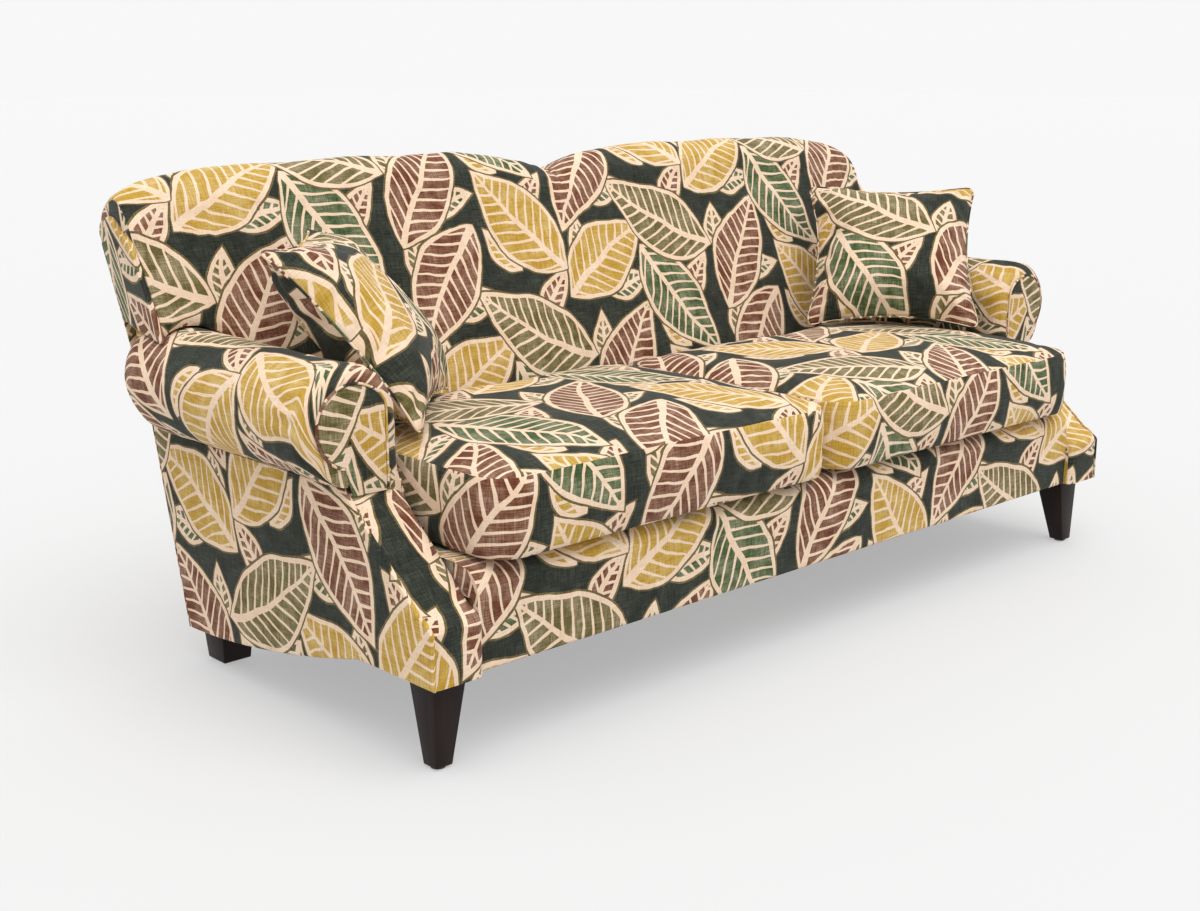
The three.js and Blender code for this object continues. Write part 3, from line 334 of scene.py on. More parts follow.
@dataclass(frozen=True)
class Weave:
    """A linen weave with a slower wash over it."""

    roughness: float = 0.6
    wash_scale: float = 21.0
    wash_roughness: float = 0.65
    heights: Pair = (0.8, 1.2)
    washes: Pair = (0.38, 0.62)

    def group(self) -> NodeTree:
        """Builds the weave's group.

        Returns:
            The group, with a tone, a height and a slower wash.
        """
        takes = {"Spot": "vector", "Threads": "number", "Length": "number"}
        gives = {"Tone": "number", "Height": "number", "Wash": "number"}
        group, graph, given, leaving = shader_group("linen_weave", takes, gives)
        parts = graph.split(given["Spot"])
        streaks = []
        for fine in (0, 1):
            scales = [given["Length"], given["Length"]]
            scales[fine] = given["Threads"]
            place = [graph.math("MULTIPLY", part, scale) for part, scale in zip(parts, scales)]
            thread = graph.fed("ShaderNodeCombineXYZ", tuple(place))
            streaks.append(graph.noise(thread, 1.0, 3.0, self.roughness).outputs[0])
        height = graph.math("ADD", *streaks)
        wash = graph.noise(given["Spot"], self.wash_scale, 4.0, self.wash_roughness).outputs[0]
        graph.feed(leaving, Height=height, Tone=graph.remap(height, *self.heights),
                   Wash=graph.remap(wash, *self.washes))
        return group


@dataclass(frozen=True)
class Grain:
    """A straight wood grain with fine pores."""

    roughness: float = 0.6
    bend: float = 0.6
    tones: Pair = (0.3, 0.7)
    pore_scale: float = 6.0
    pore_roughness: float = 0.7

    def group(self) -> NodeTree:
        """Builds the grain's group.

        Returns:
            The group, with a tone and a height.
        """
        takes = {"Place": "vector", "Across": "vector"}
        gives = {"Tone": "number", "Height": "number"}
        group, graph, given, leaving = shader_group("wood_grain", takes, gives)
        place = graph.vector("MULTIPLY", given["Place"], given["Across"])
        broad = graph.noise(place, 1.0, 4.0, self.roughness)
        graph.put(broad.inputs["Distortion"], self.bend)
        graph.feed(leaving, Tone=graph.remap(broad.outputs[0], *self.tones),
                   Height=graph.noise(place, self.pore_scale, 3.0, self.pore_roughness).outputs[0])
        return group


class Groups:
    """The shader groups, each built once."""

    def __init__(self) -> None:
        """Builds every group."""
        self.placed = placed_group()
        self.leaf = LeafLines().group()
        self.weave = Weave().group()
        self.grain = Grain().group()


def principled(name: str, **constants: object) -> tuple[Material, Graph, Node]:
    """Starts a material with a Principled shader.

    Args:
        name: The material's name.
        constants: Values for the shader's own sockets, with underscores for spaces.

    Returns:
        The material, its graph and the shader node.
    """
    material = bpy.data.materials.new(name)
    material.use_nodes = True
    shader = next(n for n in material.node_tree.nodes if n.type == "BSDF_PRINCIPLED")
    graph = Graph(material.node_tree)
    graph.feed(shader.inputs, **constants)
    return material, graph, shader


def surface(graph: Graph, shader: Node, colour: object, rough: object,
            height: object, relief: Pair) -> None:
    """Feeds a colour, a roughness and a bump into the shader.

    Args:
        graph: The material's tree.
        shader: The Principled node.
        colour: The colour's socket.
        rough: The roughness's socket.
        height: The height's socket.
        relief: How many metres the height stands for, and the bump's strength.
    """
    made = graph.node("ShaderNodeBump")
    graph.feed(made.inputs, Strength=relief[1], Distance=relief[0], Height=height)
    graph.feed(shader.inputs, Base_Color=colour, Roughness=rough, Normal=made.outputs[0])


def cloth_spot(graph: Graph) -> NodeSocket:
    """Reads the fabric's own map, in metres."""
    return graph.node("ShaderNodeUVMap", uv_map=CLOTH_MAP).outputs[0]


@dataclass(frozen=True)
class Leaf:
    """One leaf of the repeat: place and size in metres, turn in degrees, rows until it comes again."""

    ink: Ink
    across: float
    up: float
    turn: float
    half_length: float
    half_width: float
    bend: float
    vein_gap: float
    rows: int


@dataclass(frozen=True)
class PrintedLinen:
    """The cover: large and small veined leaves in four dyes on a dark ground, on uneven linen."""

    brick: float = 0.15
    rows: int = 3
    wobble: tuple[Pair, ...] = ((13.0, 0.0075), (52.0, 0.0013))
    leaves: tuple[tuple, ...] = (
        (Ink.RUST, 9, 0.012, (0.012, -0.008)),
        (Ink.GREEN, -12, -0.014, (-0.01, 0.012)),
        (Ink.MUSTARD, -16, 0.01, (0.008, 0.01)),
        (Ink.OLIVE, 14, 0.016, (-0.012, -0.006)),
        (Ink.RUST, 6, -0.012, (0.0, -0.012)),
        (Ink.MUSTARD, -7, 0.008, (0.01, 0.006)),
    )
    small: tuple[tuple, ...] = ((Ink.OLIVE, 84), (Ink.GREEN, 12), (Ink.MUSTARD, 128), (Ink.RUST, 50))
    lengths: tuple[float, ...] = (1.1, 1.05, 1.0)
    widths: Pair = (0.5, 0.54)
    vein_gap: float = 0.026
    worn_by_thread: float = 0.6
    shine: float = 0.2
    sheen: float = 0.08
    heights: Pair = (0.7, 1.3)
    roughs: Pair = (0.82, 0.94)
    relief: Pair = (0.0006, 0.6)
    small_lengths: Pair = (0.42, 0.48)
    small_width: float = 0.22
    small_bend: float = 0.005
    small_vein_gap: float = 0.019
    thread_scale: float = 520.0
    streak_scale: float = 30.0
    worn_gamma: float = 0.8
    shade_gamma: float = 1.42
    thin: float = 0.22

    def laid(self) -> list[Leaf]:
        """Lays small leaves at a herringbone's joints and large ones in its bricks, each a little off.

        Returns:
            The leaves, from the lowest layer up.
        """
        step = self.brick * math.sqrt(2)
        found = []
        for k, (ink, turn) in enumerate(self.small):
            found.append(Leaf(
                ink, step * k / 2, step * (k % 2) / 2, turn, self.brick * self.small_lengths[k % 2],
                self.brick * self.small_width, self.small_bend, self.small_vein_gap, 1,
            ))
        for k, (ink, turn, bend, nudge) in enumerate(self.leaves):
            row, column = divmod(k, 2)
            lean = 45 + 90 * column + (180 if k % 3 == 1 else 0)
            found.append(Leaf(
                ink, step * (0.25 + column) + nudge[0], step * (0.75 + row + column / 2) + nudge[1],
                lean + turn, self.brick * self.lengths[k % 3], self.brick * self.widths[k % 2],
                bend, self.vein_gap, self.rows,
            ))
        return found

    def colour(self, graph: Graph, groups: Groups, spot: object, full: object) -> NodeSocket:
        """Draws the print.

        Args:
            graph: The group's tree.
            groups: The shared groups.
            spot: The spot on the fabric.
            full: How fully the leaves' dyes cover the cream there.

        Returns:
            The printed colour.
        """
        step = self.brick * math.sqrt(2)
        for scale, reach in self.wobble:
            swirl = graph.vector("SUBTRACT", graph.noise(spot, scale, 0.0).outputs[1], (0.5, 0.5, 0.5))
            spot = graph.vector("ADD", spot, graph.vector("MULTIPLY", swirl, (2 * reach, 2 * reach, 0.0)))
        colour = linear(Ink.GROUND.value)
        for leaf in self.laid():
            here = graph.use(groups.placed, Spot=spot, Centre=(leaf.across, leaf.up, 0.0),
                             Turn=math.radians(leaf.turn), Width=2 * step, Height=leaf.rows * step, Drop=step)
            drawn = graph.use(groups.leaf, Along=here[0], Across=here[1], Half_Length=leaf.half_length,
                              Half_Width=leaf.half_width, Bend=leaf.bend, Vein_Gap=leaf.vein_gap)
            blade = graph.math("MULTIPLY", drawn["Blade"], full)
            for share, ink in ((drawn["Body"], Ink.CREAM), (blade, leaf.ink), (drawn["Line"], Ink.KEYLINE)):
                colour = graph.mix(share, colour, linear(ink.value))
        return colour

    def group(self, groups: Groups) -> NodeTree:
        """Builds the group of the whole printed cloth.

        Args:
            groups: The shared groups.

        Returns:
            The group, with a colour and a height.
        """
        group, graph, given, leaving = shader_group(
            "printed_linen", {"Spot": "vector"}, {"Colour": "colour", "Height": "number"})
        weave = graph.use(groups.weave, Spot=given["Spot"],
                          Threads=self.thread_scale, Length=self.streak_scale)
        worn = graph.math("MULTIPLY", weave["Wash"], graph.math(
            "MULTIPLY_ADD", weave["Tone"], self.worn_by_thread, 1 - self.worn_by_thread))
        full = graph.math("MULTIPLY_ADD", worn, -self.thin, 1.0)
        colour = self.colour(graph, groups, given["Spot"], full)
        shade = graph.math("SUBTRACT", 1.0, weave["Tone"])
        for share, gamma in ((worn, self.worn_gamma), (shade, self.shade_gamma)):
            colour = graph.mix(share, colour, graph.fed("ShaderNodeGamma", (colour, gamma)))
        graph.feed(leaving, Colour=colour, Height=weave["Height"])
        return group

    def material(self, groups: Groups) -> Material:
        """Builds the cover's material.

        Args:
            groups: The shared groups.

        Returns:
            The material.
        """
        material, graph, shader = principled(
            "printed_linen", Specular_IOR_Level=self.shine, Sheen_Weight=self.sheen, Sheen_Roughness=0.5)
        cloth = graph.use(self.group(groups), Spot=cloth_spot(graph))
        rough = graph.remap(cloth["Height"], *self.heights, *self.roughs)
        surface(graph, shader, cloth["Colour"], rough, cloth["Height"], self.relief)
        return material


@dataclass(frozen=True)
class PlainCloth:
    """A plain woven cloth in one colour with a lighter thread."""

    name: str
    colour: str
    thread: str
    thread_scale: float
    streak_scale: float
    roughness: float
    shine: float = 0.2
    sheen: float = 0.1
    shade: tuple[float, float, float, float] = (0.5, 0.48, 0.44, 1.0)
    shaded: float = 0.2
    rough_spread: Pair = (0.06, 0.04)
    relief: Pair = (0.0004, 0.5)

    def material(self, groups: Groups) -> Material:
        """Builds the cloth's material.

        Args:
            groups: The shared groups.

        Returns:
            The material.
        """
        material, graph, shader = principled(
            self.name, Specular_IOR_Level=self.shine, Sheen_Weight=self.sheen)
        weave = graph.use(groups.weave, Spot=cloth_spot(graph),
                          Threads=self.thread_scale, Length=self.streak_scale)
        colour = graph.mix(weave["Tone"], linear(self.colour), linear(self.thread))
        shade = graph.mix(self.shaded, colour, self.shade, "MULTIPLY")
        roughs = (self.roughness - self.rough_spread[0], self.roughness + self.rough_spread[1])
        rough = graph.remap(weave["Tone"], 0.0, 1.0, *roughs)
        surface(graph, shader, graph.mix(weave["Wash"], colour, shade), rough, weave["Height"], self.relief)
        return material


@dataclass(frozen=True)
class Wood:
    """A wood with grain up the leg or along the rail."""

    name: str
    dark: str
    pale: str
    stretch: Triple
    roughs: Pair
    shine: float
    heights: Pair = (0.3, 0.7)
    relief: Pair = (0.0003, 0.35)

    def material(self, groups: Groups) -> Material:
        """Builds the wood's material.

        Args:
            groups: The shared groups.

        Returns:
            The material.
        """
        material, graph, shader = principled(self.name, Specular_IOR_Level=self.shine)
        place = graph.node("ShaderNodeTexCoord").outputs["Object"]
        grain = graph.use(groups.grain, Place=place, Across=self.stretch)
        colour = graph.mix(grain["Tone"], linear(self.dark), linear(self.pale))
        rough = graph.remap(grain["Height"], *self.heights, *self.roughs)
        surface(graph, shader, colour, rough, grain["Height"], self.relief)
        return material


@dataclass(frozen=True)
class Hard:
    """A metal or plastic with fine marks."""

    name: str
    colour: str
    worn: str
    metallic: float
    roughs: Pair
    mark_scale: float = 180.0
    mark_roughness: float = 0.65
    worn_marks: Pair = (0.35, 0.65)
    rough_marks: Pair = (0.3, 0.7)
    relief: Pair = (0.0002, 0.25)

    def material(self) -> Material:
        """Builds the hard finish's material.

        Returns:
            The material.
        """
        material, graph, shader = principled(self.name, Metallic=self.metallic)
        place = graph.node("ShaderNodeTexCoord").outputs["Object"]
        marks = graph.noise(place, self.mark_scale, 4.0, self.mark_roughness).outputs[0]
        worn = graph.remap(marks, *self.worn_marks)
        colour = graph.mix(worn, linear(self.colour), linear(self.worn))
        rough = graph.remap(marks, *self.rough_marks, *self.roughs)
        surface(graph, shader, colour, rough, marks, self.relief)
        return material


class Finishes:
    """Every material of the sofa, each built once."""

    def __init__(self) -> None:
        """Builds the materials."""
        groups = Groups()
        self.printed = PrintedLinen().material(groups)
        self.calico = PlainCloth("calico", "cfc3a6", "ded4bc", 900.0, 60.0, 0.9).material(groups)
        self.lining = PlainCloth("lining", "1c1c1b", "2b2b29", 1400.0, 700.0, 0.92).material(groups)
        leg_wood = Wood("espresso_wood", "120907", "21120d", (70.0, 70.0, 5.0), (0.34, 0.5), 0.2)
        frame_wood = Wood("beech", "a8824f", "c9a671", (5.0, 60.0, 60.0), (0.55, 0.7), 0.4)
        self.espresso = leg_wood.material(groups)
        self.beech = frame_wood.material(groups)
        self.steel = Hard("steel", "8c8e90", "a9abad", 1.0, (0.28, 0.46)).material()
        self.nylon = Hard("nylon", "433f3b", "55504b", 0.0, (0.5, 0.7)).material()


class Ripple:
    """A smooth, repeatable unevenness made of a few waves."""

    def __init__(self, seed: int, length: float, waves: int = 7) -> None:
        """Draws the waves.

        Args:
            seed: Fixes the draw.
            length: The mean wave length in metres.
            waves: How many waves there are.
        """
        draw = np.random.default_rng(seed)
        turn = draw.uniform(0, TURN, waves)
        count = TURN / (length * draw.uniform(0.65, 1.6, waves))
        self.steps = np.stack([np.cos(turn), np.sin(turn)], 1) * count[:, None]
        self.phases = draw.uniform(0, TURN, waves)

    def at(self, u: Array, v: Array) -> Array:
        """Reads the unevenness at places in metres, as numbers of about -1 to 1."""
        angles = u[..., None] * self.steps[:, 0] + v[..., None] * self.steps[:, 1] + self.phases
        return np.sin(angles).sum(-1) / math.sqrt(2 * len(self.phases))


def rippled(u: Array, v: Array, layers: tuple[tuple, ...], shift: int = 0) -> Array:
    """Adds up layers of unevenness, each a depth, a seed and a wave length; shift moves the seeds."""
    return sum(depth * Ripple(seed + shift, length).at(u, v) for depth, seed, length in layers)


def columns(*parts: object) -> Array:
    """Sets arrays and numbers side by side along a new last axis."""
    return np.stack(np.broadcast_arrays(*parts), -1)


def quarter(count: int) -> Array:
    """Gives evenly spaced angles from 0 to a right angle."""
    return np.linspace(0, np.pi / 2, count)


def unit(vectors: Array) -> Array:
    """Scales vectors to length 1."""
    return vectors / np.maximum(np.linalg.norm(vectors, axis=-1, keepdims=True), MERGE)


def smooth(value: Array, low: float, high: float) -> Array:
    """Rises smoothly from 0 at low to 1 at high."""
    t = np.clip((value - low) / (high - low), 0, 1)
    return t * t * (3 - 2 * t)


def rounded(share: Array) -> Array:
    """Bends along a quarter circle, from 0 at share 0 to 1 at share 1."""
    return 1 - np.sqrt(1 - np.clip(share, 0, 1) ** 2)


def arc_lengths(points: Array) -> Array:
    """Running length along rows of points, from each row's start."""
    steps = np.linalg.norm(np.diff(points, axis=-2), axis=-1)
    return np.concatenate([np.zeros(steps.shape[:-1] + (1,)), np.cumsum(steps, axis=-1)], axis=-1)


def softened(x: Array, y: Array, reach: Pair, corner: float) -> tuple[Array, Array]:
    """Rounds the corners of a rectangle of points.

    Args:
        x: Across, from the middle.
        y: Up, from the middle.
        reach: Half the rectangle's sides.
        corner: Radius of its corners.

    Returns:
        Across and up of the rounded points.
    """
    near = [np.clip((np.abs(v) - limit + corner) / corner, 0, 1) for v, limit in zip((x, y), reach)]
    return (x - np.sign(x) * corner * near[0] * (1 - np.sqrt(1 - near[1] ** 2 / 2)),
            y - np.sign(y) * corner * near[1] * (1 - np.sqrt(1 - near[0] ** 2 / 2)))


def places(mesh: Mesh) -> Array:
    """Reads a mesh's points."""
    return np.array([vertex.co for vertex in mesh.vertices])


def linked(name: str, data: ID) -> Object:
    """Makes an object of a mesh, camera or lamp.

    Args:
        name: The object's name.
        data: What it shows.

    Returns:
        The object, linked to the scene.
    """
    made = bpy.data.objects.new(name, data)
    bpy.context.scene.collection.objects.link(made)
    return made


def shaded(mesh: Mesh, sharp: float) -> None:
    """Shades a mesh smooth, apart from edges that are steeper than this many degrees."""
    mesh.polygons.foreach_set("use_smooth", [True] * len(mesh.polygons))
    mesh.set_sharp_from_angle(angle=math.radians(sharp))


def finished(mesh: Mesh, name: str, material: Material, sharp: float) -> Object:
    """Cleans a mesh and makes an object of it.

    Args:
        mesh: The mesh.
        name: The piece's name.
        material: Its material.
        sharp: Edges steeper than this many degrees stay crisp.

    Returns:
        The piece, linked to the scene.
    """
    work = bmesh.new()
    work.from_mesh(mesh)
    bmesh.ops.remove_doubles(work, verts=work.verts, dist=MERGE)
    bmesh.ops.dissolve_degenerate(work, edges=work.edges, dist=MERGE / 2)
    bmesh.ops.recalc_face_normals(work, faces=work.faces)
    work.to_mesh(mesh)
    work.free()
    shaded(mesh, sharp)
    mesh.materials.clear()
    mesh.materials.append(material)
    mesh.name = name
    return linked(name, mesh)


class Skin:
    """Patches of fabric that are sewn into one closed mesh."""

    def __init__(self) -> None:
        """Starts with no patch."""
        self.points: list[Array] = []
        self.faces: list[tuple[int, ...]] = []
        self.spots: list[Array] = []
        self.count = 0

    def patch(self, points: Array, spots: Array) -> None:
        """Adds a grid of quads.

        Args:
            points: Rows by columns of points.
            spots: Rows by columns of places on the fabric.
        """
        index = np.arange(points[..., 0].size).reshape(points.shape[:2])
        corners = [index[:-1, :-1], index[:-1, 1:], index[1:, 1:], index[1:, :-1]]
        quads = np.stack(corners, -1).reshape(-1, 4)
        self.points.append(points.reshape(-1, 3))
        self.faces.extend(map(tuple, quads + self.count))
        self.spots.append(spots.reshape(-1, 2)[quads].reshape(-1, 2))
        self.count += index.size

    def cap(self, ring: Array, spots: Array) -> None:
        """Closes an open end with one flat face.

        Args:
            ring: The end's points in order.
            spots: Their places on the fabric.
        """
        self.points.append(ring)
        self.faces.append(tuple(range(self.count, self.count + len(ring))))
        self.spots.append(spots)
        self.count += len(ring)

    def sewn(self, name: str, material: Material, sharp: float) -> Object:
        """Merges the patches and turns their faces outwards.

        Args:
            name: The piece's name.
            material: Its material.
            sharp: Edges steeper than this many degrees stay crisp.

        Returns:
            The piece.
        """
        mesh = bpy.data.meshes.new(name)
        mesh.from_pydata(np.concatenate(self.points).tolist(), [], self.faces)
        cloth = mesh.uv_layers.new(name=CLOTH_MAP)
        cloth.data.foreach_set("uv", np.concatenate(self.spots).astype(np.float32).ravel())
        return finished(mesh, name, material, sharp)


def wrapped(name: str, rings: Array, stations: Array, shift: float,
            material: Material, sharp: float = 50) -> Object:
    """Wraps fabric round a row of sections and closes both ends.

    Args:
        name: The piece's name.
        rings: Sections by points.
        stations: Place of each section on the fabric.
        shift: Where each section starts on the fabric.
        material: The fabric.
        sharp: Edges steeper than this many degrees stay crisp.

    Returns:
        The piece.
    """
    loop = np.concatenate([rings, rings[:, :1]], 1)
    skin = Skin()
    skin.patch(loop, columns(stations[:, None], arc_lengths(loop) + shift))
    for ring in (rings[0], rings[-1]):
        flat = np.argsort(np.ptp(ring, axis=0))[1:]
        skin.cap(ring, ring[:, flat])
    return skin.sewn(name, material, sharp)


@dataclass(frozen=True)
class Panel:
    """A flat stuffed panel that is cut to an outline; sizes in metres.

    The shift says where it lies on the fabric, and the seed fixes its unevenness.
    """

    thickness: float
    rounding: float
    shift: Pair
    seed: int
    crown: float = 0.0
    depth: float = 0.001
    length: float = 0.25
    cell: float = 0.03
    sheet: bool = False
    insets: Pair = (0.3, 0.7)
    crown_reach: float = 0.09
    uneven_reach: Pair = (0.002, 0.04)
    sharp: float = 45

    def room(self, flat: Array, outline: Array) -> Array:
        """Measures how far flat places lie from the outline.

        Args:
            flat: The places.
            outline: The outline's points in order.

        Returns:
            A length for each place.
        """
        along = np.roll(outline, -1, 0) - outline
        away = flat[:, None] - outline[None]
        share = (away * along).sum(-1) / np.maximum((along ** 2).sum(-1), MERGE ** 2)
        return np.linalg.norm(away - np.clip(share, 0, 1)[..., None] * along, axis=-1).min(1)

    def cut(self, name: str, outline: Array, place: Callable[[Array], Array],
            material: Material) -> Object:
        """Cuts and stuffs the panel.

        Args:
            name: The piece's name.
            outline: Its outline in its own plane.
            place: Turns its own places (two in the plane, one out from its rear) into points.
            material: The fabric.

        Returns:
            The piece.
        """
        work = bmesh.new()
        levels = (self.thickness, 0.0)
        front, rear = [[work.verts.new((a, b, level)) for a, b in outline] for level in levels]
        top = work.faces.new(front)
        work.faces.new(rear[::-1])
        for k in range(len(outline)):
            work.faces.new((front[k - 1], rear[k - 1], rear[k], front[k]))
        for share in self.insets:
            bmesh.ops.inset_region(work, faces=[top], thickness=self.rounding * share, use_even_offset=True)
        for axis in (0, 1):
            low, high = outline[:, axis].min(), outline[:, axis].max()
            for level in np.linspace(low, high, max(2, round((high - low) / self.cell)) + 1)[1:-1]:
                middle, normal = Vector(), Vector()
                middle[axis], normal[axis] = level, 1.0
                everything = [*work.verts, *work.edges, *work.faces]
                bmesh.ops.bisect_plane(work, geom=everything, dist=MERGE, plane_co=middle, plane_no=normal)
        co = np.array([vertex.co for vertex in work.verts])
        room = self.room(co[:, :2], outline)
        lift = self.crown * smooth(room, 0, self.crown_reach)
        lift = lift - self.rounding * rounded(1 - room / self.rounding)
        uneven = Ripple(self.seed, self.length).at(co[:, 0], co[:, 1])
        lift += self.depth * uneven * smooth(room, *self.uneven_reach)
        lifted = co.copy()
        lifted[:, 2] += lift * (self.sheet | (co[:, 2] > self.thickness / 2))
        cloth = work.loops.layers.uv.new(CLOTH_MAP)
        for face in work.faces:
            for loop in face.loops:
                a, b, c = loop.vert.co
                loop[cloth].uv = (a + c + self.shift[0], b + c + self.shift[1])
        for vertex, point in zip(work.verts, place(lifted)):
            vertex.co = point
        mesh = bpy.data.meshes.new(name)
        work.to_mesh(mesh)
        work.free()
        return finished(mesh, name, material, self.sharp)


def plain(piece: Object) -> None:
    """Turns a piece's live modifiers into plain mesh.

    Args:
        piece: The piece.
    """
    depsgraph = bpy.context.evaluated_depsgraph_get()
    result = bpy.data.meshes.new_from_object(
        piece.evaluated_get(depsgraph), preserve_all_data_layers=True, depsgraph=depsgraph)
    piece.modifiers.clear()
    old = piece.data
    piece.data = result
    result.name = piece.name
    bpy.data.meshes.remove(old)


def carved(piece: Object, cutters: list[Object]) -> None:
    """Cuts other solids out of a piece and removes them.

    Args:
        piece: The piece.
        cutters: The solids.
    """
    for cutter in cutters:
        modifier = piece.modifiers.new("room", "BOOLEAN")
        modifier.solver = "EXACT"
        modifier.object = cutter
    plain(piece)
    for cutter in cutters:
        bpy.data.objects.remove(cutter)
    while len(piece.data.materials) > 1:
        piece.data.materials.pop()
    piece.data.set_sharp_from_angle(angle=math.radians(47))


def subdivided(piece: Object) -> None:
    """Gives a piece one level of subdivision, the same in view and render.

    Args:
        piece: The piece.
    """
    modifier = piece.modifiers.new("smooth", "SUBSURF")
    modifier.levels = modifier.render_levels = 1
    plain(piece)


def creased(mesh: Mesh, on_seam: Array, share: float) -> None:
    """Keeps the edges between seam points crisp under subdivision.

    Args:
        mesh: The mesh.
        on_seam: Whether each of its points lies on a seam.
        share: How crisp those edges stay.
    """
    crease = mesh.attributes.new("crease_edge", "FLOAT", "EDGE")
    kept = [bool(on_seam[list(line.vertices)].all()) for line in mesh.edges]
    crease.data.foreach_set("value", [share * value for value in kept])


@dataclass(frozen=True)
class Puff:
    """How a cushion is blown up as cloth."""

    pressure: float
    cap: float
    slack: float
    stiffness: float
    bending: float
    frames: int = 20

    def blow(self, piece: Object, held: Array) -> None:
        """Runs the cloth and keeps its result in the mesh.

        Args:
            piece: The cushion.
            held: How firmly each point is held, from 0 to 1.
        """
        mesh = piece.data
        start = places(mesh)
        group = piece.vertex_groups.new(name="seam")
        for index in np.flatnonzero(held):
            group.add([int(index)], float(held[index]), "REPLACE")
        modifier = piece.modifiers.new("cloth", "CLOTH")
        settings = modifier.settings
        values = {
            "quality": 5, "mass": 0.3, "tension_stiffness": self.stiffness,
            "compression_stiffness": self.stiffness / 2, "shear_stiffness": self.stiffness / 2,
            "bending_stiffness": self.bending, "shrink_min": -self.slack, "use_pressure": True,
            "uniform_pressure_force": self.pressure, "vertex_group_mass": "seam", "pin_stiffness": 1.0,
        }
        for name, value in values.items():
            setattr(settings, name, value)
        settings.effector_weights.gravity = 0
        modifier.collision_settings.use_collision = False
        modifier.collision_settings.use_self_collision = False
        modifier.point_cache.frame_start = 1
        modifier.point_cache.frame_end = self.frames
        scene = bpy.context.scene
        for number in range(1, self.frames + 1):
            scene.frame_set(number)
        move = places(piece.evaluated_get(bpy.context.evaluated_depsgraph_get()).data) - start
        move *= np.minimum(1, self.cap / np.maximum(np.linalg.norm(move, axis=1, keepdims=True), MERGE))
        piece.modifiers.clear()
        piece.vertex_groups.clear()
        scene.frame_set(1)
        mesh.vertices.foreach_set("co", (start + move).ravel())
        mesh.update()


def dress(piece: Object, node: str = "", body: str = "root") -> None:
    """Hands a finished piece to the frame.

    Args:
        piece: The piece.
        node: The node that it stands for, if any.
        body: The body that it rides on.
    """
    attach(piece, body)
    if node:
        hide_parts(node)
    log.info("%s: %d faces on %s", piece.name, len(piece.data.polygons), body)


class PathTree:
    """A geometry tree that works along a path."""

    def __init__(self, name: str, takes: dict[str, str]) -> None:
        """Starts the tree.

        Args:
            name: The tree's name.
            takes: Kind of each input by its name.
        """
        self.tree = bpy.data.node_groups.new(name, "GeometryNodeTree")
        self.ids = {}
        for word, kind in {"Path": "shape", **takes, "Finish": "material"}.items():
            made = self.tree.interface.new_socket(word, in_out="INPUT", socket_type=SOCKETS[kind])
            self.ids[word] = made.identifier
        self.tree.interface.new_socket("Geometry", in_out="OUTPUT", socket_type=SOCKETS["shape"])
        self.graph = Graph(self.tree)
        self.given = self.graph.node("NodeGroupInput").outputs
        self.leaving = self.graph.node("NodeGroupOutput").inputs["Geometry"]
        self.curve = self.graph.fed("GeometryNodeMeshToCurve", (self.given["Path"],))

    def measured(self, curve: NodeSocket) -> tuple[NodeSocket, NodeSocket]:
        """Notes the running length along a curve.

        Args:
            curve: The curve.

        Returns:
            The curve and its length at each point.
        """
        kept = self.graph.node("GeometryNodeCaptureAttribute")
        kept.capture_items.new("FLOAT", "Length")
        place = self.graph.node("GeometryNodeSplineParameter")
        self.graph.feed(kept.inputs, Geometry=curve, Length=place.outputs["Length"])
        return kept.outputs["Geometry"], kept.outputs["Length"]

    def finish(self, shape: NodeSocket) -> "PathTree":
        """Ends the tree in Realize Instances and Set Material.

        Args:
            shape: What the tree has made.

        Returns:
            The finished tree.
        """
        dressed = self.graph.node("GeometryNodeSetMaterial")
        real = self.graph.fed("GeometryNodeRealizeInstances", (shape,))
        self.graph.feed(dressed.inputs, Geometry=real, Material=self.given["Finish"])
        self.graph.put(self.leaving, dressed.outputs[0])
        return self

    def grow(self, name: str, paths: list[Array], closed: bool, **values: object) -> Object:
        """Runs the tree on paths and keeps a plain mesh.

        Args:
            name: The piece's name.
            paths: Rows of points.
            closed: Whether each path joins its own start.
            values: The tree's inputs, with underscores for spaces.

        Returns:
            The piece.
        """
        edges = []
        start = 0
        for path in paths:
            end = start + len(path)
            edges += [(k, k + 1) for k in range(start, end - 1)] + [(end - 1, start)] * closed
            start = end
        mesh = bpy.data.meshes.new(name)
        mesh.from_pydata(np.concatenate(paths).tolist(), edges, [])
        piece = linked(name, mesh)
        modifier = piece.modifiers.new("grow", "NODES")
        modifier.node_group = self.tree
        for word, value in values.items():
            modifier[self.ids[word]] = value
        plain(piece)
        shaded(piece.data, 50)
        return piece


def welt_tree() -> PathTree:
    """Builds the tree for a covered cord sewn along a path, with its own map.

    Returns:
        The tree.
    """
    made = PathTree("welt", {"Radius": "number", "Shift": "vector"})
    graph = made.graph
    circle = graph.node("GeometryNodeCurvePrimitiveCircle")
    graph.feed(circle.inputs, Resolution=8, Radius=made.given["Radius"])
    curve, along = made.measured(made.curve)
    ring, around = made.measured(circle.outputs[0])
    tube = graph.node("GeometryNodeCurveToMesh")
    graph.feed(tube.inputs, Curve=curve, Profile_Curve=ring, Fill_Caps=True)
    spot = graph.vector("ADD", graph.fed("ShaderNodeCombineXYZ", (along, around)), made.given["Shift"])
    stored = graph.node("GeometryNodeStoreNamedAttribute", data_type="FLOAT2", domain="CORNER")
    graph.feed(stored.inputs, Name=CLOTH_MAP, Geometry=tube.outputs[0], Value=spot)
    return made.finish(stored.outputs[0])


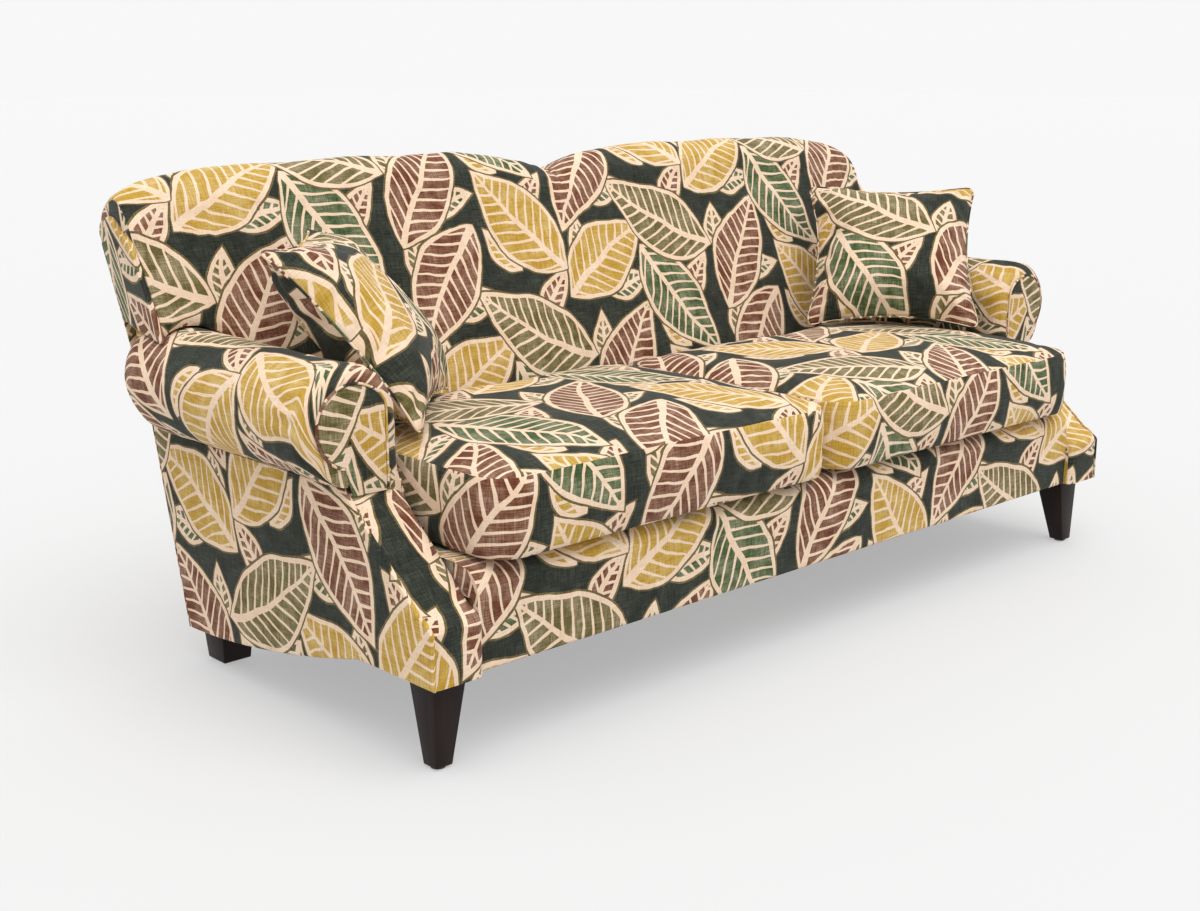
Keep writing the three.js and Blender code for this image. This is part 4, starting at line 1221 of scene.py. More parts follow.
def row_tree() -> PathTree:
    """Builds the tree for small blocks in a row along a path, such as staples and zip teeth.

    Returns:
        The tree.
    """
    made = PathTree("row", {"Spacing": "number", "Size": "vector", "Out": "vector"})
    graph = made.graph
    spaced = graph.node("GeometryNodeCurveToPoints", mode="LENGTH")
    turned = graph.node("FunctionNodeAlignRotationToVector", axis="X")
    stood = graph.node("FunctionNodeAlignRotationToVector", axis="Z", pivot_axis="X")
    tooth = graph.node("GeometryNodeMeshCube")
    placed = graph.node("GeometryNodeInstanceOnPoints")
    graph.feed(spaced.inputs, Curve=made.curve, Length=made.given["Spacing"])
    graph.feed(turned.inputs, Vector=spaced.outputs["Tangent"])
    graph.feed(stood.inputs, Rotation=turned.outputs[0], Vector=made.given["Out"])
    graph.feed(tooth.inputs, Size=made.given["Size"], Vertices_X=3)
    graph.feed(placed.inputs, Points=spaced.outputs["Points"], Instance=tooth.outputs[0],
               Rotation=stood.outputs[0])
    return made.finish(placed.outputs[0])


@dataclass
class SofaForm:
    """The sofa's leading sizes in metres, which its upholstery follows."""

    half_width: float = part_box("outside_arm_right")[1].x
    face_y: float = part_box("outside_arm_right")[0].y
    front_foot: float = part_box("front_rail_cover")[0].z
    rear_foot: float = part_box("outside_arm_right")[0].z
    depth: float = 0.732
    rake: float = math.radians(14.25)
    sweep_start: float = 0.195
    sweep_power: float = 1.7

    @property
    def rear_y(self) -> float:
        """Where the rear face starts, at its lower edge."""
        return self.face_y + self.depth

    def raked(self, x: Array, y: Array, z: Array) -> Array:
        """Turns places across, out of and up the raked rear plane into points."""
        sine, cosine = math.sin(self.rake), math.cos(self.rake)
        return columns(x, self.rear_y + z * sine + y * cosine, self.rear_foot + z * cosine - y * sine)

    def raked_height(self, level: float, y: float = 0.0) -> float:
        """Height up the raked plane of a level, at a distance out of the plane."""
        return (level - self.rear_foot + y * math.sin(self.rake)) / math.cos(self.rake)

    def raked_y(self, level: float, y: float) -> float:
        """Depth of a level on the raked plane, at a distance out of the plane."""
        return self.rear_y + self.raked_height(level, y) * math.sin(self.rake) + y * math.cos(self.rake)

    def underside(self, y: Array) -> Array:
        """Finds the height of the swept lower edge.

        Args:
            y: Depths in the frame.

        Returns:
            The height at each.
        """
        start = self.face_y + self.sweep_start
        t = np.clip((y - start) / (self.rear_y - start), 0, 1)
        return self.front_foot - (self.front_foot - self.rear_foot) * (1 - (1 - t) ** self.sweep_power)


@dataclass
class Arms:
    """The two roll arms: inside and roll, scroll facing, padded front, outside panel; sizes in metres."""

    form: SofaForm
    cover: Material
    welt: PathTree
    radius: float = 0.098
    height: float = 0.526
    set_in: float = 0.014
    front: float = 0.205
    end: float = 0.785
    front_rounding: float = 0.029
    end_rounding: float = 0.056
    pad: float = 0.034
    foot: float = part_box("arm_pad_right")[0].z
    block_top: float = 0.236
    shoulder_depth: float = 0.034
    shoulder_rise: float = 0.029
    slope_drop: float = 0.014
    padding: float = 0.0257
    cheek_inset: float = 0.008
    cheek_rounding: float = 0.022
    cheek_depth: float = 0.01
    seam_sunk: float = 0.0022
    seam_rounding: float = 0.007
    clearance: float = 0.003
    rear_inset: float = -0.0053
    rail_rear: float = 0.2255
    gather: float = 0.041
    gather_depth: float = 0.0021
    gather_start: float = 0.03
    gather_end: float = 0.14
    wall_points: int = 21
    roll_points: int = 61
    waves: tuple[tuple, ...] = ((0.0016, 11, 0.16), (0.0006, 23, 0.045))
    front_waves: tuple[tuple, ...] = ((0.0012, 31, 0.09),)
    sunk: float = 0.0026
    cord: float = 0.0022
    cord_sunk: float = 0.0018
    cord_reach: float = 0.07

    def __post_init__(self) -> None:
        """Derives the lines that the parts share."""
        self.roll_x = self.form.half_width - self.set_in
        self.inside_x = self.roll_x - self.radius
        self.inner_x = self.inside_x + self.pad
        self.panel_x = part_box("outside_arm_right")[0].x
        self.panel_top = self.height - self.radius - CLEAR
        self.shoulder_z = self.block_top + self.shoulder_rise
        self.slope_run = self.front - self.shoulder_depth
        self.slope_rise = self.panel_top - self.shoulder_z - self.slope_drop + CLEAR

    def arc(self, radius: Array, angles: Array) -> Array:
        """Draws an arc about the roll's middle, as places across and up."""
        return columns(self.roll_x + radius * np.cos(angles), self.height + radius * np.sin(angles))

    def room(self, side: Side) -> Object:
        """Makes the cutter for the room that an arm takes out of the back.

        Args:
            side: Which arm.

        Returns:
            The cutter.
        """
        clear = self.inside_x - self.clearance
        far = self.form.half_width + self.radius
        roll = self.arc(self.radius + self.clearance, np.linspace(np.pi, 0, 49))
        outline = np.concatenate([[(clear, 0.0)], roll, [(far, self.height), (far, 0.0)]])
        depths = np.array([self.form.face_y, self.form.face_y + 2 * self.form.depth])
        rings = columns(side.value * outline[:, 0], depths[:, None], outline[:, 1])
        return wrapped(side.node("room"), rings, depths, 0.0, self.cover)

    def section(self, y: Array, inset: Array, lean: Array) -> Array:
        """Draws the closed section of an arm's pad at each station.

        Args:
            y: Depth of each station.
            inset: How far the roll is drawn in there.
            lean: How far the section leans back, as a slope.

        Returns:
            Stations by section points.
        """
        inset = inset[:, None]
        angles = np.linspace(np.pi, -np.pi / 2 + math.asin(self.set_in / self.radius), self.roll_points)
        roll = self.arc(self.radius - inset * smooth(np.sin(angles), -0.98, -0.5), angles)
        wall_z = np.linspace(self.foot, self.height, self.wall_points + 1)[:-1]
        wall = columns(self.inside_x + inset * smooth(wall_z, 0.4, 0.46), wall_z)
        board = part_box("arm_board_right")
        rail_x = self.panel_x - CLEAR
        inner = np.array([(rail_x, board[0].z - 3 * CLEAR), (rail_x, board[1].z + CLEAR),
                          (self.inner_x, board[1].z + CLEAR), (self.inner_x, self.foot)])
        flat = np.concatenate([wall, roll, np.repeat(inner[None], len(y), 0)], 1)
        return columns(flat[..., 0], y[:, None] + lean[:, None] * (flat[..., 1] - self.height), flat[..., 1])

    def inside(self, side: Side) -> None:
        """Makes the inside of the arm and its roll, gathered at the front.

        Args:
            side: Which arm.
        """
        start = self.form.face_y + self.front
        round_end = start + self.front_rounding
        straight = self.form.face_y + self.end - self.end_rounding
        turn = quarter(9)
        run = np.linspace(round_end, straight, 60)[1:]
        y = np.concatenate([round_end - self.front_rounding * np.cos(turn), run,
                            straight + self.end_rounding * np.sin(turn[1:])])
        inset = self.front_rounding * np.concatenate([1 - np.sin(turn), 0 * run, 1 - np.cos(turn[1:])])
        lean = math.tan(self.form.rake) * np.clip((y - round_end) / (straight - round_end), 0, 1)
        rings = self.section(y, inset, lean)
        around = arc_lengths(rings)
        away = rings - np.array([self.roll_x, 0, self.height])
        away[..., 1] = 0
        away[:, :self.wall_points, 2] = 0
        full = start + self.gather_start
        near_front = smooth(y, start, full) * (1 - smooth(y, full, start + self.gather_end))
        gathers = self.gather_depth * np.sin(TURN * around / self.gather + 1.4 * np.sin(37 * around))
        wave = rippled(y[:, None], around, self.waves, side.value) + gathers * near_front[:, None] - self.sunk
        wave *= smooth(around, 0.0, 0.04)
        wave[:, self.wall_points + self.roll_points:] = 0
        rings += unit(away) * wave[..., None]
        rings[..., 0] *= side.value
        piece = wrapped(side.node("inside_arm"), rings, y * side.value + 0.31, 0.12, self.cover)
        dress(piece, side.node("arm_pad"))

    def facing(self, side: Side) -> None:
        """Makes the scroll facing and the covered cord round it.

        Args:
            side: Which arm.
        """
        radius = self.radius - self.front_rounding - self.clearance
        inner = self.inner_x + self.clearance
        foot = self.panel_top - self.slope_drop + 2 * CLEAR
        start = -math.asin(0.96)
        ring = self.arc(radius, np.linspace(start, math.pi * 0.62, 34))
        shoulder = np.array([inner, self.height + radius * 0.3])
        t = np.linspace(0, 1, 12)[1:, None]
        curve = (1 - t) ** 2 * ring[-1] + 2 * t * (1 - t) * (shoulder + [0, radius * 0.4]) + t ** 2 * shoulder
        side_line = np.linspace(shoulder, [inner, foot], 9)[1:]
        sewn = np.concatenate([ring, curve, side_line])
        outline = np.concatenate([sewn, [(self.panel_x - 0.004, foot)]])
        face_y = self.form.face_y + self.front - CLEAR
        panel = Panel(thickness=0.003, rounding=0.0028, shift=(0.07, 0.33), seed=7 + side.value,
                      crown=0.0035, depth=0.0007, length=0.09, cell=0.012)
        piece = panel.cut(
            side.node("scroll_facing"), outline,
            lambda co: columns(co[:, 0] * side.value, face_y - co[:, 2], co[:, 1]), self.cover)
        dress(piece, side.node("arm_facing"))
        middle = np.array([self.roll_x - 0.008, self.height - 0.016])
        path = middle + (sewn - middle) * (1 + self.cord / self.cord_reach)
        path = columns(path[:, 0] * side.value, face_y - self.cord_sunk, path[:, 1])
        cord = self.welt.grow(side.node("facing_welt"), [path], False,
                              Radius=self.cord, Shift=(0.4, 0.2, 0.0), Finish=self.cover)
        dress(cord)

    def profile(self, offset: Array, count: int = 30) -> Array:
        """Draws the front of an arm from its foot over the block and up the slope.

        Args:
            offset: How far in from the face each line lies.
            count: Points along each stretch.

        Returns:
            Lines by points of depth and height.
        """
        offset = offset[:, None]
        length = math.hypot(self.slope_run, self.slope_rise)
        knee_y = self.shoulder_depth + offset * self.slope_rise / length
        knee_z = self.shoulder_z - offset * self.slope_run / length
        lip_z = knee_z - (knee_y - offset) * self.shoulder_rise / 2 / self.shoulder_depth
        block_z = self.block_top - offset * 0.35
        foot = self.form.front_foot
        half = np.linspace(0, 1, count // 2)[None]
        t = half[:, 1:]
        bend_y = (1 - t ** 2) * offset + t ** 2 * knee_y
        bend_z = (1 - t) ** 2 * block_z + 2 * t * (1 - t) * lip_z + t ** 2 * knee_z
        t = np.linspace(0, 1, count)[None, 1:]
        rise_z = knee_z + (self.panel_top - CLEAR - knee_z) * t
        rise_y = knee_y + (rise_z - knee_z) * (self.slope_run / self.slope_rise)
        block = columns(offset, foot + (block_z - foot) * half)
        return np.concatenate([block, columns(bend_y, bend_z), columns(rise_y, rise_z)], 1)

    def padded_front(self, side: Side) -> None:
        """Makes the padded front of an arm, with its rounded cheek beside the seat.

        Args:
            side: Which arm.
        """
        low = self.inside_x + self.cheek_inset
        high = self.panel_x - CLEAR
        cheek_x = low + self.cheek_rounding * (1 - np.cos(quarter(8)))
        x = np.concatenate([cheek_x, np.linspace(cheek_x[-1], high, 9)[1:]])
        offset = self.cheek_depth * rounded(1 - (x - low) / self.cheek_rounding)
        offset += self.seam_sunk * rounded(1 - (high - x) / self.seam_rounding)
        outer = self.profile(offset)
        rear = self.profile(np.full(len(x), self.padding))[:, ::-1]
        wall = self.front - CLEAR
        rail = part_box("front_rail")
        rail_y = rail[0].y - self.form.face_y - 2 * CLEAR
        cheek = x < self.inner_x
        for i in np.flatnonzero(cheek):
            path = np.array([[wall, outer[i, -1, 1]], [wall, self.foot],
                             [rail[1].y - self.form.face_y, self.rail_rear],
                             [rail_y, self.rail_rear], [rail_y, self.form.front_foot]])
            length = arc_lengths(path)
            at = np.linspace(0, length[-1], rear.shape[1])
            rear[i] = columns(*(np.interp(at, length, line) for line in path.T))
        last = int(np.flatnonzero(cheek)[-1])
        step = np.concatenate([outer[last], rear[last + 1]])
        ring = np.insert(np.concatenate([outer, rear], 1), last + 1, step, axis=0)
        x = np.insert(x, last + 1, x[last])
        points = columns(x[:, None], ring[..., 0] + self.form.face_y, ring[..., 1])
        shown = outer.shape[1]
        up = arc_lengths(points[:, :shown])
        wave = rippled(x[:, None], up, self.front_waves, side.value) - self.front_waves[0][0]
        points[:, :shown, 1] -= wave * 0.7
        points[:, :shown, 2] += wave * 0.5 * smooth(up, 0.09, 0.14)
        points[..., 0] *= side.value
        piece = wrapped(side.node("arm_front"), points, x * side.value, 0.02, self.cover, 48)
        dress(piece, side.node("arm_front_pad"))

    def outside(self, side: Side) -> None:
        """Makes the flat outside panel, with its tongue behind the roll.

        Args:
            side: Which arm.
        """
        form = self.form
        front = self.profile(np.zeros(1))[0] + np.array([form.face_y, 0.0])
        top = front[-1, 1]
        tongue_top = self.height + self.radius - self.clearance
        tongue_y = form.face_y + self.end + 0.001 + (top - self.height) * math.tan(form.rake)
        rear = [(form.raked_y(z, self.rear_inset), z) for z in (tongue_top, form.rear_foot)]
        foot_y = np.linspace(rear[-1][0], form.face_y, 42)[1:-1]
        outline = np.concatenate([
            front, [(tongue_y, top), (tongue_y + (tongue_top - top) * math.tan(form.rake), tongue_top)], rear,
            columns(foot_y, form.underside(foot_y)),
        ])
        panel = Panel(thickness=form.half_width - self.panel_x, rounding=0.003,
                      shift=(0.14 + 0.3 * side.value, 0.05), seed=41 + side.value, depth=0.0012)
        piece = panel.cut(
            side.node("outside_panel"), outline,
            lambda co: columns((self.panel_x + co[:, 2]) * side.value, co[:, 0], co[:, 1]), self.cover)
        dress(piece, side.node("outside_arm"))

    def build(self) -> None:
        """Builds and dresses both arms."""
        for side in Side:
            self.inside(side)
            self.facing(side)
            self.padded_front(side)
            self.outside(side)


@dataclass
class Back:
    """The tight back: cushioned inside with a double crown, side borders and a flat outside.

    Sizes are in metres; heights go up the raked plane.
    """

    form: SofaForm
    arms: Arms
    cover: Material
    hump_shares: tuple[Pair, ...] = (
        (0, 0), (0.024, 0.2), (0.05, 0.42), (0.1, 0.68), (0.17, 0.86), (0.3, 0.97),
        (0.43, 1), (0.6, 0.985), (0.78, 0.9), (0.88, 0.76), (0.95, 0.5), (1, 0),
    )
    ridge_depth: float = 0.1
    front_shoulder: float = 0.092
    rear_shoulder: float = 0.04
    wrap: float = 0.058
    seat_inset: float = 0.222
    arm_inset: float = 0.208
    top_inset: float = 0.168
    seat_line: float = 0.331
    arm_line: float = 0.487
    top_line: float = 0.734
    half_arm: float = 1.003
    half_top: float = 1.027
    splay: float = 0.043
    crown: float = 0.014
    border: float = 0.01
    foot: float = 0.262
    tuck: float = 0.8
    dip: float = 0.775
    peak: float = 0.828
    corner: float = 0.772
    frame_depth: float = 0.0336
    middle_steps: tuple[float, ...] = (0.0, 0.003, 0.007, 0.012, 0.018, 0.026, 0.036)
    edge_steps: tuple[float, ...] = (0.026, 0.017, 0.011, 0.007, 0.0045, 0.0025, 0.001, 0.0)
    columns_across: int = 92
    waves: tuple[tuple, ...] = ((0.0022, 3, 0.22), (0.0006, 5, 0.06))
    sunk: float = 0.0018
    fold: float = 0.004
    fold_gap: float = 0.028
    fold_reach: Pair = (0.045, 0.16)
    seam_sunk: float = 0.006
    arm_tuck: float = 0.015
    droop: float = 0.02
    border_lean: float = 0.045
    panel_gap: float = 0.003

    def __post_init__(self) -> None:
        """Draws the double crown's right half."""
        hump = np.array(self.hump_shares)
        foot = np.where(np.arange(len(hump)) < len(hump) / 2, self.dip, self.corner)
        rise = foot + (self.peak - foot) * hump[:, 1]
        self.crest = self.curve(columns(hump[:, 0] * self.half_arm, rise))

    def curve(self, points: Array, steps: int = 24) -> Array:
        """Draws a smooth curve through points that keeps close to them.

        Args:
            points: The points in order.
            steps: Points for each stretch.

        Returns:
            The curve's points.
        """
        padded = np.concatenate([[2 * points[0] - points[1]], points, [2 * points[-1] - points[-2]]])
        found = []
        for i in range(1, len(padded) - 2):
            p = padded[i - 1:i + 3]
            knots = np.concatenate([[0], np.cumsum(np.linalg.norm(np.diff(p, axis=0), axis=1) ** 0.5)])
            t = np.linspace(knots[1], knots[2], steps, endpoint=False)[:, None]
            level = list(p)
            for gap in (1, 2):
                level = [((knots[k + gap] - t) * level[k] + (t - knots[k]) * level[k + 1])
                         / (knots[k + gap] - knots[k]) for k in range(4 - gap)]
            share = (t - knots[1]) / (knots[2] - knots[1])
            found.append((1 - share) * level[0] + share * level[1])
        return np.concatenate([*found, points[-1:]])

    def ridge(self, x: Array) -> Array:
        """Height of the top line at places across."""
        return np.interp(np.abs(x), self.crest[:, 0], self.crest[:, 1])

    def half_width(self, y: Array, z: Array) -> Array:
        """Finds half the back's width at places on its raked section."""
        slant = (self.half_top - self.half_arm) / (self.top_line - self.arm_line)
        return self.half_arm + slant * (z - self.arm_line) - self.splay * (1 + y / self.arm_inset)

    def flared(self, x: Array, y: Array, z: Array) -> Array:
        """Turns places of the straight section into points, moved out to the flared sides.

        Args:
            x: Across.
            y: Out of the raked plane, to the rear.
            z: Up the raked plane.

        Returns:
            The points.
        """
        inside = self.arms.inside_x
        share = np.maximum(0, (np.abs(x) - inside) / (self.half_arm - inside))
        return self.form.raked(x + np.sign(x) * (self.half_width(y, z) - self.half_arm) * share, y, z)

    def face(self, x: Array, z: Array) -> Array:
        """Finds where the cushioned face stands.

        Args:
            x: Across.
            z: Up the raked plane.

        Returns:
            Places out of the raked plane, negative to the front.
        """
        lower = (z - self.seat_line) / (self.arm_line - self.seat_line)
        upper = (z - self.arm_line) / (self.top_line - self.arm_line)
        low = self.seat_inset + (self.arm_inset - self.seat_inset) * lower
        high = self.arm_inset + (self.top_inset - self.arm_inset) * upper
        blend = smooth(z, self.arm_line - 0.02, self.arm_line + 0.02)
        inset = low + (high - low) * blend - np.maximum(0, self.seat_line - z) * self.tuck
        return -inset + self.crown * np.minimum(1, np.abs(x) / self.half_arm) ** 4

    def rings(self, x: Array) -> tuple[Array, int]:
        """Draws the upright section of the inside back at each place across.

        Args:
            x: Places across.

        Returns:
            Places by section points, in raked places, and how many points show.
        """
        ridge = self.ridge(x)[:, None]
        across = x[:, None]
        shoulder = ridge - self.front_shoulder
        face_z = self.foot + (shoulder - self.foot) * np.linspace(0, 1, 46)
        turn = quarter(17)[1:]
        bend_y = -self.ridge_depth + (self.face(across, shoulder) + self.ridge_depth) * np.cos(turn)
        bend_z = shoulder + self.front_shoulder * np.sin(turn)
        turn = quarter(14)[1:]
        wrap = ridge - self.wrap
        flap_z = np.concatenate([wrap + (self.wrap - self.rear_shoulder) / 2, wrap], 1)
        hidden_z = np.concatenate([wrap, np.full_like(wrap, self.foot)], 1)
        section = np.concatenate([
            columns(self.face(across, face_z), face_z), columns(bend_y, bend_z),
            columns(-self.ridge_depth * (1 - np.sin(turn)), ridge - self.rear_shoulder * (1 - np.cos(turn))),
            columns(0.0, flap_z), columns(-self.frame_depth, hidden_z),
        ], 1)
        return columns(across, section[..., 0], section[..., 1]), section.shape[1] - 2

    def inside(self) -> None:
        """Makes the cushioned inside back, wrapped over its top and scribed round the rolls."""
        end = self.half_arm - self.border - CLEAR
        edge = end - np.array(self.edge_steps)
        even = np.linspace(self.middle_steps[-1] + 0.01, edge[0], self.columns_across)
        right = np.concatenate([self.middle_steps, even, edge[1:]])
        x = np.concatenate([-right[:0:-1], right])
        rings, shown = self.rings(x)
        across = rings[..., 0]
        drop = self.ridge(x)[:, None] - rings[..., 2]
        reach = np.exp(-np.abs(across) / self.fold_reach[0] - np.maximum(drop, 0) / self.fold_reach[1])
        fold = self.fold * reach * np.sin(np.abs(across) * TURN / self.fold_gap)
        wave = rippled(across, arc_lengths(rings), self.waves) + fold - self.sunk
        to_edge = end - np.abs(across)
        wave = wave * smooth(to_edge, 0.0, 0.02) - self.seam_sunk * rounded(1 - to_edge / 0.012)
        wave[:, shown:] = 0
        before = rings[..., 1] <= -self.ridge_depth
        upward = np.where(drop < self.front_shoulder, np.clip(1 - drop / self.front_shoulder, 0, 1), 0.0)
        outward = np.where(before, upward - 1, np.clip(drop / self.rear_shoulder, 0, 1) * 0.6)
        tucked = self.tucked(rings)
        tucked[:, shown:] = 0
        rings[..., 1] += wave * outward + tucked * before
        rings[..., 2] += wave * upward
        points = self.flared(rings[..., 0], rings[..., 1], rings[..., 2])
        piece = wrapped("inside_back", points, x, 0.06, self.cover, 48)
        carved(piece, [self.arms.room(side) for side in Side])
        dress(piece, "back_pad")

    def tucked(self, rings: Array) -> Array:
        """Finds how far the face draws back where it meets an arm.

        Args:
            rings: Places by section points.

        Returns:
            A length for each.
        """
        points = self.form.raked(rings[..., 0], rings[..., 1], rings[..., 2])
        arms = self.arms
        aside = np.abs(points[..., 0]) - arms.roll_x
        up = points[..., 2] - arms.height
        ring = np.hypot(aside, np.maximum(up, 0)) - arms.radius - arms.clearance
        room = np.where(up > 0, ring, arms.inside_x - arms.clearance - np.abs(points[..., 0]))
        return self.arm_tuck * rounded(1 - np.maximum(room, 0) / 0.02)

    def side_border(self, side: Side) -> None:
        """Makes the border panel on one side of the back.

        Args:
            side: Which side.
        """
        top = self.corner - self.front_shoulder / 4
        z = np.linspace(self.form.raked_height(self.arms.height), top, 30)
        droop = self.droop * smooth(z, top - 3 * self.droop, top)
        lean = self.border_lean * smooth(z, top - 0.075, top)
        front = self.face(np.full_like(z, self.half_arm), z) + CLEAR + lean
        rear = -self.frame_depth / 6
        across = np.linspace(front[-1], rear, 20)[1:-1]
        bend = self.droop * np.abs(np.linspace(-1, 1, 20)[1:-1]) ** 3
        outline = np.concatenate([
            columns(front, z - droop), columns(across, top - bend), columns(rear, z - droop)[::-1]])
        panel = Panel(thickness=self.border, rounding=0.004, shift=(0.2 + 0.4 * side.value, 0.08),
                      seed=61 + side.value, crown=0.0025, depth=0.0008, length=0.1, cell=0.016)

        def place(co: Array) -> Array:
            """Turns the panel's own places into points.

            Args:
                co: Places in the panel's plane and out of it.

            Returns:
                The points.
            """
            points = self.flared(np.full(len(co), self.half_arm), co[:, 0], co[:, 1])
            points[:, 0] = side.value * (points[:, 0] - self.border + co[:, 2])
            return points

        piece = panel.cut(side.node("side_border"), outline, place, self.cover)
        carved(piece, [self.arms.room(side)])
        dress(piece, side.node("back_border"))

    def outside(self) -> None:
        """Makes the flat outside back, cut to the double crown."""
        under = self.wrap + self.panel_gap
        corner = self.corner - under
        rise = self.form.raked_height(self.arms.panel_top)
        z = np.array([0, rise, *np.linspace(rise + CLEAR, corner, 12)])
        wide = np.maximum(self.form.half_width, self.half_width(np.zeros(14), z))
        half = np.where(z > rise, wide, self.form.half_width) - CLEAR
        top_x = np.linspace(half[-1], -half[-1], 161)[1:-1]
        top = np.maximum(self.ridge(top_x) - under, corner)
        outline = np.concatenate([columns(half, z), columns(top_x, top), columns(-half, z)[::-1]])
        panel = Panel(thickness=0.005, rounding=0.0025, shift=(0.09, 0.11), seed=71,
                      crown=0.001, depth=0.0014, length=0.3)
        piece = panel.cut(
            "outside_back_panel", outline,
            lambda co: self.form.raked(co[:, 0], co[:, 2] - panel.thickness, co[:, 1]), self.cover)
        dress(piece, "outside_back")

    def build(self) -> None:
        """Builds and dresses the back."""
        self.inside()
        for side in Side:
            self.side_border(side)
        self.outside()


@dataclass
class Base:
    """The rail cover, the seat platform and the dust cover; sizes in metres."""

    form: SofaForm
    finishes: Finishes
    rows: PathTree
    cover_thickness: float = 0.012
    nose_rounding: float = 0.043
    edge_rounding: float = 0.004
    turn_under: float = 0.028
    deck_room: float = 0.001
    sheet: float = 0.0012
    staple_inset: float = 0.014
    staple: Triple = (0.0115, 0.0011, 0.0007)
    staple_gap: float = 0.038
    stitch_inset: float = 0.018
    stitch: Triple = (0.004, 0.0007, 0.0006)
    stitch_gap: float = 0.006
    waves: tuple[tuple, ...] = ((0.0018, 81, 0.2), (0.0007, 83, 0.05))

    def rail_cover(self) -> None:
        """Makes the padded cover of the front rail."""
        low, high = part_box("front_rail_cover")
        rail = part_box("front_rail")[1]
        inner = low.y + self.cover_thickness
        edge, nose = self.edge_rounding, self.nose_rounding
        turn, edge_turn = quarter(15), quarter(5)
        front = np.concatenate([
            [(inner, low.z)],
            columns(low.y + edge * (1 - np.sin(edge_turn)), low.z + edge * (1 - np.cos(edge_turn))),
            columns(low.y, low.z + (high.z - nose - low.z) * np.linspace(0.08, 0.95, 12)),
            columns(low.y + nose * (1 - np.cos(turn)), high.z - nose * (1 - np.sin(turn))),
        ])
        ring = np.concatenate([front, [
            (high.y, high.z), (high.y, high.z - self.turn_under), (rail.y + CLEAR, high.z - self.turn_under),
            (rail.y + CLEAR, rail.z + CLEAR), (inner, rail.z + CLEAR),
        ]])
        shown = len(front)
        x = np.linspace(low.x, high.x, 121)
        points = columns(x[:, None], ring[:, 0], ring[:, 1])
        wave = rippled(x[:, None], arc_lengths(points), self.waves) - self.waves[0][0]
        wave[:, shown:] = 0
        wave[:, :2] = 0
        lean = np.zeros(len(ring))
        lean[shown - len(turn):shown] = np.sin(turn)
        points[..., 1] -= wave * (1 - lean)
        points[..., 2] += wave * lean
        for end in (0, -1):
            points[end, shown + 1:shown + 3, 2] = rail.z - edge
        piece = wrapped("rail_cover", points, x + 0.04, 0.02, self.finishes.printed)
        dress(piece, "front_rail_cover")

    def platform(self) -> None:
        """Makes the calico platform under the cushions, with its stitched edge."""
        low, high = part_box("seat_deck")
        outline = np.array([(low.x, low.y), (high.x, low.y), (high.x, high.y), (low.x, high.y)])
        panel = Panel(thickness=high.z - low.z - self.deck_room, rounding=0.006,
                      shift=(0, 0), seed=91, length=0.12)
        piece = panel.cut("seat_platform", outline,
                          lambda co: np.c_[co[:, :2], np.minimum(low.z + co[:, 2], high.z)],
                          self.finishes.calico)
        dress(piece, "seat_deck")
        inset = self.stitch_inset * np.sign(outline - outline.mean(0))
        path = np.c_[outline - inset, np.full(4, high.z + 0.0004)]
        stitches = self.rows.grow("platform_stitches", [path], True, Spacing=self.stitch_gap,
                                  Size=self.stitch, Out=UP, Finish=self.finishes.calico)
        dress(stitches)
        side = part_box("front_rail_cover")[1].x
        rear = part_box("arm_pad_right")[0].y - 3 * CLEAR
        lip = np.array([(-side, low.y), (side, low.y), (side, rear), (-side, rear)])
        border = Panel(thickness=CLEAR, rounding=CLEAR / 3, shift=(0.2, 0.1), seed=93, depth=0.0)
        piece = border.cut("platform_lip", lip, lambda co: co + np.array([0, 0, high.z + CLEAR / 2]),
                           self.finishes.printed)
        dress(piece)

    def dust_cover(self) -> None:
        """Makes the stretched dust cover under the base, with its staples."""
        low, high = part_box("dust_cover")
        depth = np.linspace(low.y, high.y, 31)
        outline = np.concatenate([columns(low.x, depth), columns(high.x, depth[::-1])])
        panel = Panel(thickness=self.sheet, rounding=CLEAR, shift=(0, 0), seed=101,
                      crown=0.002, depth=0.001, length=0.11, sheet=True)

        def place(co: Array) -> Array:
            """Lays the sheet under the swept rails."""
            across, y, out = co.T
            return columns(across, y, self.form.underside(y) + CLEAR / 2 + out)

        piece = panel.cut("dust_sheet", outline, place, self.finishes.lining)
        dress(piece, "dust_cover")
        ends_x, ends_y = [np.array([low[k] + self.staple_inset, high[k] - self.staple_inset]) for k in (0, 1)]
        lines = [(x, np.linspace(*ends_y, 30)) for x in ends_x] + [(ends_x, y) for y in ends_y]
        paths = [columns(x, y, self.form.underside(y) + CLEAR / 4) for x, y in lines]
        staples = self.rows.grow("dust_cover_staples", paths, False, Spacing=self.staple_gap,
                                 Size=self.staple, Out=UP, Finish=self.finishes.steel)
        dress(staples)
        length = float(arc_lengths(place(columns(low.x, depth, 0.0)))[-1])

    def build(self) -> None:
        """Builds and dresses the base."""
        self.rail_cover()
        self.platform()
        self.dust_cover()


